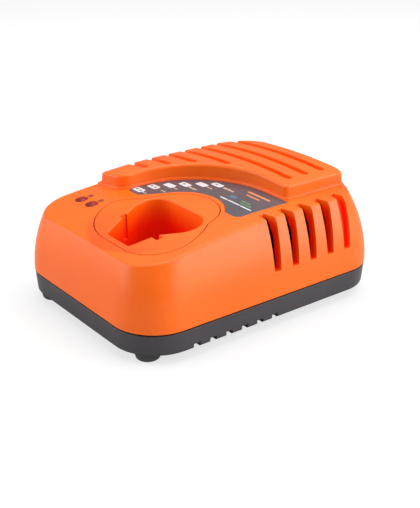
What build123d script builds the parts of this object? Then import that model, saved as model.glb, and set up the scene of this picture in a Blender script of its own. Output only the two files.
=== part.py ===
from build123d import *
import os
from math import asin, degrees, sqrt

# Desktop charger for pod-shaped power tool batteries, in millimetres.
# Frame: origin under the middle of the case on the surface it stands on, X to the right,
# -Y towards the user, +Z up.

os.makedirs("parts", exist_ok=True)

# ---------------------------------------------------------------- case
case_length = 160.0           # Y, at the seam
case_width = 120.4            # X, at the seam
corner_radius = 23.5          # plan corners
wall = 2.3                    # cover, tray and well flange
bulge_radius = 92.0           # side walls of the cover, seen from the end
seam_height = 16.7            # lower edge of the cover
seam_gap = 0.9                # shadow line between cover and tray
foot_height = 4.8             # underside of the tray
half_width = case_width / 2
half_length = case_length / 2
front_y = -half_length

# shelf: the lower, front level of the cover
shelf_height = 57.6
shelf_crown_radius = 1170.0
level_y = front_y + 95.0      # shelf and deck are level behind this line and fall away in front
fall_radius = 450.0
crease_radius = 1.5

# deck: the raised rear level with its curved step round the label
deck_height = 66.2
deck_crown_radius = 370.0
deck_crown_x = -1.0
deck_join = 56.2              # the deck's own outer walls rise from the bulging ones here
deck_lean = 0.14              # and lean in by this much per millimetre
deck_rim_radius = 1.5
deck_corner_radius = 2.5
deck_nose_radius = 7.5        # between the curved step and the front end
deck_end_radius = deck_rim_radius + 0.5  # upright edges at the case walls
deck_lip_x = 37.2             # right-hand step of the deck
deck_front_y = front_y + 50.2  # front end of the deck on the left, where the curved step starts
deck_front_slope = 0.1        # it runs on forwards to the case wall
arch_x = 22.0                 # centre of the curved step
arch_y = front_y + 53.0
arch_radius = 54.0
deck_root = 45.0              # the deck's solid starts here, below the shelf
bead_width = 0.9              # low bead along the foot of the step
bead_height = 1.0
bead_radius = 0.6
crown_range = 5.0             # edges along the crown rise less than this
form_top = deck_height + 2.0
surface_tolerance = 0.05      # for finding the edges that lie on a surface

# seven grooves across the deck
groove_count = 7
groove_first_y = deck_front_y + 18.3
groove_last_y = half_length - 20.0
groove_pitch = (groove_last_y - groove_first_y) / (groove_count - 1)
groove_width = 4.2
groove_depth = 3.0
groove_arch_margin = 4.4
groove_lip_margin = 6.8

# five vent slots over the right shoulder, each wider at the shoulder than at its ends
vent_count = 5
vent_first_y = front_y + 81.0   # front edge of the first
vent_last_y = half_length - 29.8
vent_pitch = (vent_last_y - vent_first_y) / (vent_count - 1)
vent_inner_x = 45.0
vent_inner_width = 3.7
vent_plan_slope = 0.34        # widening away from the inner end
vent_foot = 30.3
vent_foot_width = 4.3
vent_side_slope = 0.08        # widening upwards
vent_corner_radius = 0.8
vent_blind_depth = 3.2        # the last slot is blind
vent_wall = 4.6               # side wall between the slots
post_width = 12.0             # solid behind the blind slot
post_inner_x = 42.5
left_vent_inner_x = 46.0

# battery well; its left side is cut closer than its right
well_x = 12.5                 # middle of the pack
flange_waist_left = (-10.4, front_y + 55.4)
flange_hollow_left = (-13.4, front_y + 51.5)
flange_shoulder_left = (-17.0, front_y + 47.9)
flange_turn_left = (-20.6, front_y + 42.8)
flange_side_left = (-22.2, front_y + 37.0)
flange_front_arc = (-13.4, front_y + 21.6)
flange_front_left = (9.1, front_y + 12.3)
flange_front_right = (27.5, front_y + 12.4)
flange_corner_right = (41.6, front_y + 18.5)
flange_side_right = (46.8, front_y + 33.5)
flange_turn_right = (43.6, front_y + 44.7)
flange_waist_right = (36.3, front_y + 56.6)
flange_back = (13.0, front_y + 76.2)
flange_gap = 0.5
well_back_y = front_y + 59.6
well_back_left = -17.2        # where the slanting sides would meet the back wall
well_back_right = 47.0
well_side_right = (27.6, front_y + 31.8)
well_front_y = front_y + 16.3
well_front_left = 6.7
well_front_right = 26.0
well_left_corner = 10.6
well_right_corner = 12.2
well_front_corner = 1.5
well_notch_left_y = front_y + 32.6
well_notch_right_y = front_y + 30.4
well_notch_width = 4.2
well_notch_left = 16.8        # reach from the middle of the pack
well_notch_right = 19.6
well_wall = 2.0
well_floor = 12.0
well_rim_radius = 0.8
frame_top = 40.0              # mounting frame round the well
frame_thickness = 2.5
frame_left_x = -18.5
frame_right_x = 43.5
frame_back_y = front_y + 66.5
frame_front_y = front_y + 13.5
frame_lug_radius = 4.0
frame_margin = 2.0            # plate beyond the screw lines
brim_height = 46.0            # the well stays inside its flange above this
frame_boss_radius = 3.5
frame_pilot_depth = 5.5
frame_screw_length = 7.5

# label on the shelf
label_gap = 1.7               # from the foot of the curved step
label_inner_x = 12.5          # centre of the label's inner edge
label_inner_y = front_y + 54.0
label_inner_radius = 25.0
label_notch_top = (-10.9, front_y + 63.1)
label_notch_foot = (-19.2, front_y + 52.2)
label_right_x = 40.8
label_left_y = front_y + 52.2
label_right_y = front_y + 71.0
label_thickness = 0.35
label_recess = 0.5
label_edge_gap = 0.15
label_corner_radius = 3.5

# indicators
pipe_pitch = 10.4
pipe_first_x = -39.8
pipe_y = front_y + 29.4
pipe_radius = 3.3
pipe_gap = 0.1
pipe_recess_radius = 3.6
pipe_recess_depth = 0.4
pipe_dome = 1.5
pipe_collar_radius = 4.2
pipe_collar_thickness = 1.5
icon_offset = 5.4
icon_shift = 0.5
icon_depth = 0.35
icon_length = 2.4
icon_height = 1.6
icon_corner = 0.4
icon_tip = 0.6
icon_spot_radius = 1.1
icon_bar_length = 3.0
icon_bar_width = 0.44

# fastening
boss_radius = 3.6
pilot_radius = 1.25
screw_radius = 1.5
screw_clearance = 0.2
screw_head_radius = 2.8
screw_head_height = 2.0
case_screw_x = half_width - 10.2
case_screw_y = half_length - 22.5
tower_radius = 5.0
tower_top = 20.0
case_pilot_depth = 12.0
case_screw_length = 21.5
head_pocket_top = 9.5
head_pocket_gap = 0.3
board_screw_length = 6.5
standoff_pilot_depth = 5.1
terminal_screw_x = 8.0
terminal_screw_length = 5.6
terminal_pilot_depth = 3.8
seat_gap = 0.02

# tray
tray_bottom_width = case_width - 0.8
tray_bottom_length = case_length - 1.2
tray_bottom_corner = 24.5
tray_edge_radius = 1.2
tray_step = 0.2               # tray inside the cover's lower edge
tongue_thickness = 1.2
tongue_height = 2.4
tongue_gap = 0.15
tongue_root = 2.5
tray_vent_count = 6
tray_vent_pitch = 9.97
tray_vent_first_y = front_y + 29.7
tray_vent_width = 4.0
tray_vent_inner_x = 46.0
tray_vent_top = 7.3
plate_width = 52.0
plate_length = 32.0
plate_thickness = 0.3
plate_y = 30.0
plate_recess = 0.5
plate_edge_gap = 0.2
plate_corner = 2.0

# feet
foot_x = half_width - 14.2
foot_y = half_length - 12.4
foot_left_x = 20.2 - half_width
foot_left_y = front_y + 9.2    # the foot at the front left is set off the others' rectangle
foot_top_radius = 6.8
foot_base_radius = 5.9
foot_round = 1.6
foot_pad_height = 3.5
foot_spigot_radius = 3.5
foot_spigot_height = 1.0
foot_spigot_gap = 0.1

# main circuit board
board_half_width = 43.0
board_back_y = half_length - 11.0
board_front_y = front_y + 67.0
wing_right_x = -19.0
wing_front_y = front_y + 18.0
board_thickness = 1.6
standoff_height = 6.0
standoff_radius = 3.2
board_screw_x = 38.5
board_screw_back_y = board_back_y - 4.5
board_screw_front_y = board_front_y + 4.5
wing_screw_x = -24.0
wing_screw_y = wing_front_y + 5.0

# light pipe bosses and status lights under them
pipe_boss_foot = 45.0
pipe_boss_radius = 4.9
light_length = 3.5
light_width = 2.8
light_height = 1.6
light_gap = 0.4

# terminal block with three sprung contacts
contact_pitch = 6.5
contact_width = 4.0
contact_thickness = 0.4
contact_side_gap = 0.3
contact_root = 2.2            # in front of the slot's back wall
contact_crest_rise = 5.0      # crest above the root
contact_tip_rise = 9.5
contact_tip_return = 3.6
contact_proud = 2.0           # crest in front of the block
contact_bend = 1.2
block_width = 21.0
block_depth = 8.0
block_height = 19.0
block_gap = 0.1
block_back = 1.5
block_lift = 0.05
block_round = 0.6
slot_drop = 1.5               # floor of the slots below the contact roots
tag_height = 17.5
tag_width = 3.6
tag_thickness = 0.5
tag_gap = 0.1
tag_tail = 3.3                # beyond the well wall
tag_end_gap = 0.5             # between tag and contact
lead_radius = 0.9
lead_rise = 5.0
lead_bend = 3.0
lead_gap = 0.05
connector_y = front_y + 72.5
connector_depth = 5.0
connector_height = 7.0

# mains inlet for a two-pole lead
inlet_x = -24.0
inlet_body_width = 20.0
inlet_body_top = 30.5
inlet_front_y = half_length - 18.5
inlet_back_y = half_length - 4.0
nose_half_width = 8.8
nose_half_height = 6.4
nose_back_y = half_length - 0.7
nose_gap = 0.25
nose_corner = 2.5
socket_depth = 11.0
socket_radius = 3.5
socket_waist = 6.0
pin_pitch = 8.6
pin_radius = 1.2
pin_recess = 2.0
pin_fit = 0.02
pin_leg_radius = 0.8
pin_leg_gap = 0.2
pin_leg_y = inlet_front_y + 3.5
pin_leg_tail = 1.2

# power parts on the board
transformer_x = 14.0
transformer_y = 34.0
core_width = 34.0
core_thickness = 14.0
core_height = 28.0
core_yoke = 5.0
core_leg = 5.0
core_middle = 8.0
core_lift = 0.5
bobbin_wall = 1.2
bobbin_gap = 0.2
bobbin_reach = 13.0
winding_margin = 1.3
bulk_can_x = -16.0
bulk_can_radius = 8.0
bulk_can_height = 26.0
output_can_radius = 5.0
output_can_height = 20.0
output_can_x = 10.0
output_can_pitch = 12.0
output_can_y = connector_y + 11.5
can_edge = 1.0
can_groove = 0.5
sink_height = 27.0
sink_thickness = 2.0
sink_fin = 3.0
sink_fin_count = 5
primary_sink_x = -38.0
primary_sink_y = board_front_y + 21.0
primary_sink_length = 24.0
output_sink_x = 38.0
output_sink_y = board_front_y + 43.0
output_sink_length = 30.0
output_device_y = output_sink_y - 10.0
sink_fin_width = 1.6
device_width = 10.0
device_body = 9.0
device_depth = 4.5
device_tab = 6.0
device_tab_thickness = 1.3
device_lift = 9.0
device_leg = 0.8
fuse_y = inlet_front_y - 8.5
fuse_x = -22.0
fuse_length = 20.0
fuse_radius = 2.4
fuse_cap_length = 5.0
fuse_cap_wall = 0.2
fuse_lift = 3.6
clip_wall = 0.6
clip_width = 3.5
choke_x = -14.0
choke_y = fuse_y - 13.5
choke_outer = 7.5
choke_inner = 4.5
choke_height = 6.0
choke_wire = 1.2
choke_arc = 110.0
choke_gap = 0.1
bulk_can_y = choke_y - 19.5
line_can_x = -34.0
line_can_length = 17.0
line_can_depth = 8.0
line_can_height = 13.0
bridge_x = -34.0
bridge_length = 15.0
bridge_depth = 4.0
bridge_height = 11.0
chip_x = -31.0
chip_y = front_y + 52.0
chip_length = 20.0
chip_width = 6.4
chip_height = 3.4
chip_leg_count = 8
chip_leg_pitch = 2.54
chip_lift = 0.6
chip_leg_width = 0.6
chip_leg_reach = 1.4
chip_leg_top = 2.2
coupler_x = -3.0
coupler_y = board_front_y + 23.0
coupler_length = 4.8
resistor_count = 4
resistor_x = 33.0
resistor_y = board_front_y + 12.0
resistor_pitch = 4.0
resistor_length = 6.5
resistor_radius = 1.2
resistor_wire = 0.35
resistor_span = 10.0
resistor_bend = 0.8

floor_top = foot_height + wall
board_bottom = floor_top + standoff_height
board_top = board_bottom + board_thickness
tray_top = seam_height - seam_gap
inlet_z = tray_top + nose_gap + nose_half_height
well_bottom = well_floor - well_wall
block_back_y = well_back_y - block_gap
block_front_y = block_back_y - block_depth
slot_back_y = block_back_y - block_back
contact_root_y = slot_back_y - contact_root
tag_front_y = contact_root_y + tag_end_gap
tag_back_y = well_back_y + well_wall + tag_tail
deck_roof = groove_depth + wall
dome_radius = (pipe_radius**2 + pipe_dome**2) / (2 * pipe_dome)
fuse_side = fuse_radius + fuse_cap_wall + 2 * seat_gap + clip_wall
sink_end_y = primary_sink_y + primary_sink_length / 2
line_gap = (fuse_y - fuse_side - sink_end_y - bridge_depth - line_can_depth) / 3
bridge_y = sink_end_y + line_gap + bridge_depth / 2
line_can_y = fuse_y - fuse_side - line_gap - line_can_depth / 2
outside = 20.0                # cutting forms go past the case by this much
reach = half_length + outside
span = half_width + outside


def arc_sag(radius, distance):
    """Height lost by an arc of this radius at this distance from its crest."""
    return radius - sqrt(radius**2 - distance**2)


def wall_x(height, inset=0.0):
    """Half width of the bulging side wall at a height, moved in by inset."""
    radius = bulge_radius - inset
    return half_width - bulge_radius + sqrt(radius**2 - (height - seam_height)**2)


def wall_y(height, inset=0.0):
    """Half length of the bulging end wall at a height, moved in by inset."""
    return wall_x(height, inset) - half_width + half_length


def shelf_z(x, y):
    """Height of the shelf's crowned, falling surface."""
    fall = arc_sag(fall_radius, max(0.0, level_y - y))
    return shelf_height - fall - arc_sag(shelf_crown_radius, x)


def deck_z(x, y):
    """Height of the deck's crowned, falling surface."""
    fall = arc_sag(fall_radius, max(0.0, level_y - y))
    return deck_height - fall - arc_sag(deck_crown_radius, x - deck_crown_x)


def bulged_section(low, high, inset):
    """Section across two bulging walls, from its lower corner on the right to its upper one."""
    radius = bulge_radius - inset
    with BuildLine() as outline:
        RadiusArc(low, high, -radius)
        Line(high, (-high[0], high[1]))
        RadiusArc((-high[0], high[1]), (-low[0], low[1]), -radius)
        Line((-low[0], low[1]), low)
    return outline.line


def bulged_block(bottom, top, inset):
    """Block with bulging walls and rounded corners, all of it moved in by inset."""
    with BuildPart() as block:
        with BuildSketch(Plane.XZ.offset(-reach)):
            with BuildLine():
                add(bulged_section((wall_x(bottom, inset), bottom), (wall_x(top, inset), top), inset))
            make_face()
        extrude(amount=2 * reach)
        with BuildSketch(Plane.YZ.offset(-span)):
            with BuildLine():
                add(bulged_section((wall_y(bottom, inset), bottom), (wall_y(top, inset), top), inset))
            make_face()
        extrude(amount=2 * span, mode=Mode.INTERSECT)
        corners = block.edges().filter_by(lambda e: abs((e @ 0).Z - (e @ 1).Z) > (top - bottom) / 2)
        fillet(corners, corner_radius - inset)
    return block.part


def under_crown(height, crown_radius, crown_x, drop):
    """Everything below a crowned surface that falls away to the front, lowered by drop."""
    sag = arc_sag(crown_radius - drop, span)
    front_z = height - arc_sag(fall_radius, reach + level_y)
    with BuildPart() as block:
        with BuildLine(Plane.YZ) as crest:
            level = Line((reach, height), (level_y, height))
            RadiusArc(level @ 1, (-reach, front_z), -fall_radius)
        with BuildSketch(Plane((crown_x, reach, height), x_dir=(1, 0, 0), z_dir=(0, -1, 0))):
            with BuildLine():
                ThreePointArc((-span, -drop - sag), (0, -drop), (span, -drop - sag))
                Polyline((span, -drop - sag), (span, -reach), (-span, -reach), (-span, -drop - sag))
            make_face()
        sweep(path=crest.wires()[0])
    return block.part


def under_shelf(drop):
    """Everything below the shelf surface, lowered by drop."""
    return under_crown(shelf_height, shelf_crown_radius, 0, drop)


def under_deck(drop):
    """Everything below the deck surface, lowered by drop."""
    return under_crown(deck_height, deck_crown_radius, deck_crown_x, drop)


def deck_outline(inset):
    """Plan of the deck, its step moved in by inset."""
    radius = arch_radius + inset
    front = deck_front_y + inset
    lip = deck_lip_x - inset
    with BuildSketch() as plan:
        with BuildLine():
            Polyline((lip, reach), (lip, arch_y + radius), (arch_x, arch_y + radius))
            arc = CenterArc((arch_x, arch_y), radius, 90, 90 + degrees(asin((arch_y - front) / radius)))
            edge_y = front - deck_front_slope * (span + (arc @ 1).X)
            Polyline(arc @ 1, (-span, edge_y), (-span, reach), (lip, reach))
        make_face()
        corners = plan.vertices().filter_by(lambda v: v.Y < reach - 1 and v.X > -span + 1)
        fillet(corners.sort_by(Axis.X)[-1:], deck_corner_radius)
        fillet(plan.vertices().filter_by(lambda v: v.Y < 0 and v.X > -span + 1), deck_nose_radius)
    return plan.sketch


def deck_block(inset):
    """Block with the deck's nearly upright outer walls, moved in by inset."""
    with BuildPart() as block:
        for height in (deck_root, form_top):
            shift = (deck_join - height) * deck_lean - inset
            width = 2 * (wall_x(deck_join) + shift)
            length = 2 * (wall_y(deck_join) + shift)
            with BuildSketch(Plane.XY.offset(height)):
                RectangleRounded(width, length, corner_radius + shift)
        loft(ruled=True)
    return block.part


def edges_on(part, height_at):
    """Edges of a part that lie on a surface given by its height at x and y."""
    def lies_on(edge):
        spots = [edge @ t for t in (0, 0.5, 1)]
        return all(abs(p.Z - height_at(p.X, p.Y)) < surface_tolerance for p in spots)
    return part.edges().filter_by(lies_on)


def off_level_line(edge):
    """False for the line across the shelf where its level part ends."""
    spot = edge @ 0.5
    return abs(spot.X) > 1 or abs(spot.Y - level_y) > 1


def case_form():
    """Outer form of the cover, closed below."""
    block = bulged_block(seam_height, form_top, 0)
    with BuildPart() as deck:
        with BuildSketch(Plane.XY.offset(deck_root)):
            add(deck_outline(0))
        extrude(amount=form_top - deck_root, dir=(0, 0, 1))
        add(under_deck(0), mode=Mode.INTERSECT)
        add(deck_block(0), mode=Mode.INTERSECT)
        upright = deck.edges().filter_by(lambda e: abs((e @ 0).Z - (e @ 1).Z) > crown_range)
        front_corner = upright.sort_by(lambda e: (e @ 0.5).X + (e @ 0.5).Y)[0:1]
        back_corner = upright.sort_by(lambda e: (e @ 0.5).X + (e @ 0.5).Y)[-1:]
        fillet(front_corner + back_corner, deck_end_radius)
        fillet(edges_on(deck, deck_z), deck_rim_radius)
    with BuildPart() as bead:
        with BuildSketch(Plane.XY.offset(deck_root)):
            add(deck_outline(-bead_width))
        extrude(amount=form_top - deck_root, dir=(0, 0, 1))
        add(under_shelf(-bead_height), mode=Mode.INTERSECT)
        add(block, mode=Mode.INTERSECT)
        fillet(edges_on(bead, lambda x, y: shelf_z(x, y) + bead_height), bead_radius)
    with BuildPart() as form:
        add(block)
        add(under_shelf(0), mode=Mode.INTERSECT)
        fillet(edges_on(form, shelf_z).filter_by(off_level_line), crease_radius)
        add(bead.part)
        add(deck.part)
    return form.part


def cavity_form():
    """Hollow of the cover."""
    block = bulged_block(seam_height, form_top, wall)
    with BuildPart() as deck:
        with BuildSketch(Plane.XY.offset(deck_root)):
            add(deck_outline(wall))
        extrude(amount=form_top - deck_root, dir=(0, 0, 1))
        add(under_deck(deck_roof), mode=Mode.INTERSECT)
        add(deck_block(wall), mode=Mode.INTERSECT)
    with BuildPart() as form:
        add(block)
        add(under_shelf(wall), mode=Mode.INTERSECT)
        add(deck.part)
    return form.part


def flange_outline(inset):
    """Pear-shaped plan of the well flange, moved in by inset."""
    with BuildSketch() as plan:
        with BuildLine():
            ThreePointArc(flange_waist_left, flange_hollow_left, flange_shoulder_left)
            ThreePointArc(flange_shoulder_left, flange_turn_left, flange_side_left)
            ThreePointArc(flange_side_left, flange_front_arc, flange_front_left)
            Line(flange_front_left, flange_front_right)
            ThreePointArc(flange_front_right, flange_corner_right, flange_side_right)
            ThreePointArc(flange_side_right, flange_turn_right, flange_waist_right)
            ThreePointArc(flange_waist_right, flange_back, flange_waist_left)
        make_face()
        if inset > 0:
            offset(amount=-inset, kind=Kind.INTERSECTION, mode=Mode.REPLACE)
    return plan.sketch


def well_outline(outset):
    """Plan of the battery well without its guide notches, moved out by outset."""
    with BuildSketch() as plan:
        with BuildLine():
            Polyline(
                (well_back_left, well_back_y),
                (well_front_left, well_front_y),
                (well_front_right, well_front_y),
                well_side_right,
                (well_back_right, well_back_y),
                close=True,
            )
        make_face()
        back = plan.vertices().group_by(Axis.Y)[-1].sort_by(Axis.X)
        fillet(back[0], well_left_corner)
        back = plan.vertices().group_by(Axis.Y)[-1].sort_by(Axis.X)
        fillet(back[-1], well_right_corner)
        front = plan.vertices().group_by(Axis.Y)[0]
        fillet(front, well_front_corner)
        if outset > 0:
            offset(amount=outset, kind=Kind.INTERSECTION)
    return plan.sketch


def label_outline(outset):
    """Plan of the label, between the curved step and the well flange, moved out by outset."""
    outer = arch_radius - label_gap
    with BuildSketch() as plan:
        with Locations((arch_x, arch_y)):
            Circle(outer)
        with Locations((label_right_x, arch_y + outer / 2)):
            Rectangle(2 * (label_right_x - arch_x), outer)
        with Locations((label_right_x + outer, arch_y)):
            Rectangle(2 * outer, 4 * outer, mode=Mode.SUBTRACT)
        with Locations((label_inner_x, label_inner_y)):
            Circle(label_inner_radius, mode=Mode.SUBTRACT)
        with Locations((arch_x - outer, label_left_y - 2 * outer)):
            Rectangle(4 * outer, 4 * outer, mode=Mode.SUBTRACT)
        with Locations((label_right_x, label_right_y - outer)):
            Rectangle(2 * (label_right_x - well_x), 2 * outer, mode=Mode.SUBTRACT)
        with BuildLine():
            Polyline(label_notch_top, label_notch_foot, (label_inner_x, label_notch_foot[1]), close=True)
        make_face(mode=Mode.SUBTRACT)
        left_end = plan.vertices().group_by(Axis.Y)[0]
        right_end = plan.vertices().filter_by(lambda v: abs(v.Y - label_right_y) < 1)
        fillet(left_end + right_end, label_corner_radius)
        if outset > 0:
            offset(amount=outset, kind=Kind.INTERSECTION)
    return plan.sketch


def foot_places():
    """Plan places of the four feet: front left, front right, rear left, rear right."""
    return [(foot_left_x, foot_left_y), (foot_x, -foot_y), (-foot_x, foot_y), (foot_x, foot_y)]


def case_screw_places():
    """Plan places of the four case screws."""
    return [(x, y) for x in (-case_screw_x, case_screw_x) for y in (-case_screw_y, case_screw_y)]


def frame_screw_places():
    """Plan places of the four screws that hold the well."""
    return [(x, y) for x in (frame_left_x, frame_right_x) for y in (frame_front_y, frame_back_y)]


def board_screw_places():
    """Plan places of the board's screws, the last one on its wing."""
    back = [(x, board_screw_back_y) for x in (-board_screw_x, board_screw_x)]
    front = [(x, board_screw_front_y) for x in (-board_screw_x, board_screw_x)]
    return back + front + [(wing_screw_x, wing_screw_y)]


def pipe_places():
    """Plan places of the two light pipes."""
    return [(pipe_first_x + n * pipe_pitch, pipe_y) for n in range(2)]


def contact_places():
    """X of the three battery contacts."""
    return [well_x + n * contact_pitch for n in (-1, 0, 1)]


def groove_end(y):
    """X where a groove across the deck stops, clear of the curved step and the lip."""
    radius = arch_radius + groove_arch_margin
    lip_end = deck_lip_x - groove_lip_margin
    rise = y - arch_y
    if rise >= radius:
        return lip_end
    return min(lip_end, arch_x - sqrt(radius**2 - rise**2))


def terminal_screw_places():
    """Plan places of the two screws under the terminal block."""
    middle_y = (block_front_y + slot_back_y) / 2
    return [(well_x - terminal_screw_x, middle_y), (well_x + terminal_screw_x, middle_y)]


def screws(places, head_face, length, head_up):
    """A set of pan-head screws, their heads seated at one height."""
    side = 1 if head_up else -1
    with BuildPart() as group:
        with BuildSketch(Plane.XY.offset(head_face)):
            with Locations(*places):
                Circle(screw_head_radius)
        extrude(amount=side * screw_head_height)
        rim = group.edges().filter_by(GeomType.CIRCLE)
        rim = rim.sort_by(Axis.Z, reverse=head_up)[0:len(places)]
        fillet(rim, screw_head_height / 3)
        with BuildSketch(Plane.XY.offset(head_face)):
            with Locations(*places):
                Circle(pilot_radius - seat_gap)
        extrude(amount=-side * length)
        with BuildSketch(Plane.XY.offset(head_face + side * screw_head_height)):
            with Locations(*places):
                Rectangle(screw_head_radius, screw_head_radius / 4)
                Rectangle(screw_head_radius / 4, screw_head_radius)
        extrude(amount=-side * screw_head_height / 2, mode=Mode.SUBTRACT)
    return group.part


# ---------------------------------------------------------------- top cover
post_y = vent_first_y + (vent_count - 1) * vent_pitch + vent_foot_width / 2
with BuildPart() as vent_backing:
    with BuildSketch(Plane.XY.offset(vent_foot - wall)):
        with Locations(((vent_inner_x + span) / 2, (vent_first_y - wall + post_y) / 2)):
            Rectangle(span - vent_inner_x, post_y - vent_first_y + wall)
    extrude(amount=form_top - vent_foot + wall)
    add(bulged_block(seam_height, form_top, vent_wall), mode=Mode.SUBTRACT)

with BuildPart() as hollow:
    add(cavity_form())
    add(vent_backing.part, mode=Mode.SUBTRACT)
    with BuildSketch(Plane.XY.offset(tower_top + seat_gap)):
        with Locations(*case_screw_places()):
            Circle(boss_radius)
    extrude(amount=form_top - tower_top, mode=Mode.SUBTRACT)
    with BuildSketch(Plane.XY.offset(frame_top + seat_gap)):
        with Locations(*frame_screw_places()):
            Circle(frame_boss_radius)
    extrude(amount=form_top - frame_top, mode=Mode.SUBTRACT)
    with BuildSketch(Plane.XY.offset(pipe_boss_foot)):
        with Locations(*pipe_places()):
            Circle(pipe_boss_radius)
    extrude(amount=form_top - pipe_boss_foot, mode=Mode.SUBTRACT)
    with BuildSketch(Plane.XY.offset(tower_top + seat_gap)):
        with Locations(((post_inner_x + span) / 2, post_y)):
            Rectangle(span - post_inner_x, post_width)
    extrude(amount=form_top - tower_top, mode=Mode.SUBTRACT)

with BuildPart() as deck_grooves:
    with BuildSketch(Plane.XY.offset(deck_root)):
        for n in range(groove_count):
            groove_y = groove_first_y + n * groove_pitch
            tip = groove_end(groove_y) - groove_width / 2
            with Locations(((tip - span) / 2, groove_y)):
                Rectangle(tip + span, groove_width)
            with Locations((tip, groove_y)):
                Circle(groove_width / 2)
    extrude(amount=form_top - deck_root)
    add(under_deck(groove_depth), mode=Mode.SUBTRACT)

with BuildPart() as left_vents:
    with BuildSketch(Plane.XY.offset(vent_foot)):
        for n in range(groove_count - 1):
            with Locations((-(span + left_vent_inner_x) / 2, groove_first_y + n * groove_pitch)):
                Rectangle(span - left_vent_inner_x, groove_width)
    extrude(amount=form_top - vent_foot)
    lower = left_vents.edges().filter_by(Axis.X).group_by(Axis.Z)[0]
    fillet(lower, vent_corner_radius)

with BuildPart() as blind_core:
    add(bulged_block(seam_height, form_top, vent_blind_depth))
    add(under_shelf(vent_blind_depth), mode=Mode.INTERSECT)
    with BuildSketch(Plane.XY.offset(seam_height)):
        with Locations((span / 2, post_y)):
            Rectangle(span, post_width)
    extrude(amount=form_top - seam_height, mode=Mode.INTERSECT)

with BuildPart() as right_vents:
    outer_width = vent_inner_width + (span - vent_inner_x) * vent_plan_slope
    top_width = vent_foot_width + (form_top - vent_foot) * vent_side_slope
    with BuildSketch(Plane.XY.offset(vent_foot)) as vent_plan:
        for n in range(vent_count):
            vent_y = vent_first_y + n * vent_pitch
            with BuildLine():
                Polyline(
                    (vent_inner_x, vent_y),
                    (span, vent_y),
                    (span, vent_y + outer_width),
                    (vent_inner_x, vent_y + vent_inner_width),
                    close=True,
                )
            make_face()
    extrude(amount=form_top - vent_foot)
    with BuildSketch(Plane.YZ.offset(vent_inner_x)) as vent_side:
        for n in range(vent_count):
            vent_y = vent_first_y + n * vent_pitch
            with BuildLine():
                Polyline(
                    (vent_y, vent_foot),
                    (vent_y + vent_foot_width, vent_foot),
                    (vent_y + top_width, form_top),
                    (vent_y, form_top),
                    close=True,
                )
            make_face()
        fillet(vent_side.vertices().group_by(Axis.Y)[0], vent_corner_radius)
    extrude(amount=span - vent_inner_x, mode=Mode.INTERSECT)
    add(blind_core.part, mode=Mode.SUBTRACT)

with BuildPart() as label_pocket:
    with BuildSketch(Plane.XY.offset(deck_root)):
        add(label_outline(label_edge_gap))
    extrude(amount=form_top - deck_root, dir=(0, 0, 1))
    add(under_shelf(label_recess), mode=Mode.SUBTRACT)

with BuildPart() as indicator_pockets:
    with BuildSketch(Plane.XY.offset(pipe_boss_foot)):
        with Locations(*pipe_places()):
            Circle(pipe_recess_radius)
    extrude(amount=form_top - pipe_boss_foot)
    add(under_shelf(pipe_recess_depth), mode=Mode.SUBTRACT)

with BuildPart() as indicator_icons:
    with BuildSketch(Plane.XY.offset(pipe_boss_foot)):
        with Locations((pipe_first_x + icon_shift, pipe_y + icon_offset)):
            RectangleRounded(icon_length, icon_height, icon_corner)
        with Locations((pipe_first_x + icon_shift + (icon_length + icon_corner) / 2, pipe_y + icon_offset)):
            Rectangle(icon_tip, icon_tip)
        with Locations((pipe_first_x + icon_shift + pipe_pitch, pipe_y + icon_offset)):
            Circle(icon_spot_radius)
            Rectangle(icon_bar_length, icon_bar_width)
    extrude(amount=form_top - pipe_boss_foot)
    add(under_shelf(icon_depth), mode=Mode.SUBTRACT)

with BuildPart() as top_cover:
    add(case_form())
    add(hollow.part, mode=Mode.SUBTRACT)
    add(deck_grooves.part, mode=Mode.SUBTRACT)
    add(left_vents.part, mode=Mode.SUBTRACT)
    add(right_vents.part, mode=Mode.SUBTRACT)
    add(label_pocket.part, mode=Mode.SUBTRACT)
    add(indicator_pockets.part, mode=Mode.SUBTRACT)
    add(indicator_icons.part, mode=Mode.SUBTRACT)
    with BuildSketch(Plane.XY.offset(frame_top)):
        add(flange_outline(0))
    extrude(amount=form_top - frame_top, dir=(0, 0, 1), mode=Mode.SUBTRACT)
    with BuildSketch(Plane.XY.offset(pipe_boss_foot - 1)):
        with Locations(*pipe_places()):
            Circle(pipe_radius + pipe_gap)
    extrude(amount=form_top - pipe_boss_foot, mode=Mode.SUBTRACT)
    with BuildSketch(Plane.XY.offset(tower_top)):
        with Locations(*case_screw_places()):
            Circle(pilot_radius)
    extrude(amount=case_pilot_depth, mode=Mode.SUBTRACT)
    with BuildSketch(Plane.XY.offset(frame_top)):
        with Locations(*frame_screw_places()):
            Circle(pilot_radius)
    extrude(amount=frame_pilot_depth, mode=Mode.SUBTRACT)
    nose_top = inlet_z + nose_half_height + nose_gap
    with BuildSketch(Plane.XZ.offset(-inlet_front_y)):
        with Locations((inlet_x, (seam_height + nose_top) / 2)):
            Rectangle(2 * (nose_half_width + nose_gap), nose_top - seam_height)
    extrude(amount=inlet_front_y - reach, mode=Mode.SUBTRACT)
top_cover.part.label = "top_cover"
export_step(top_cover.part, "parts/top_cover.step")


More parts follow.
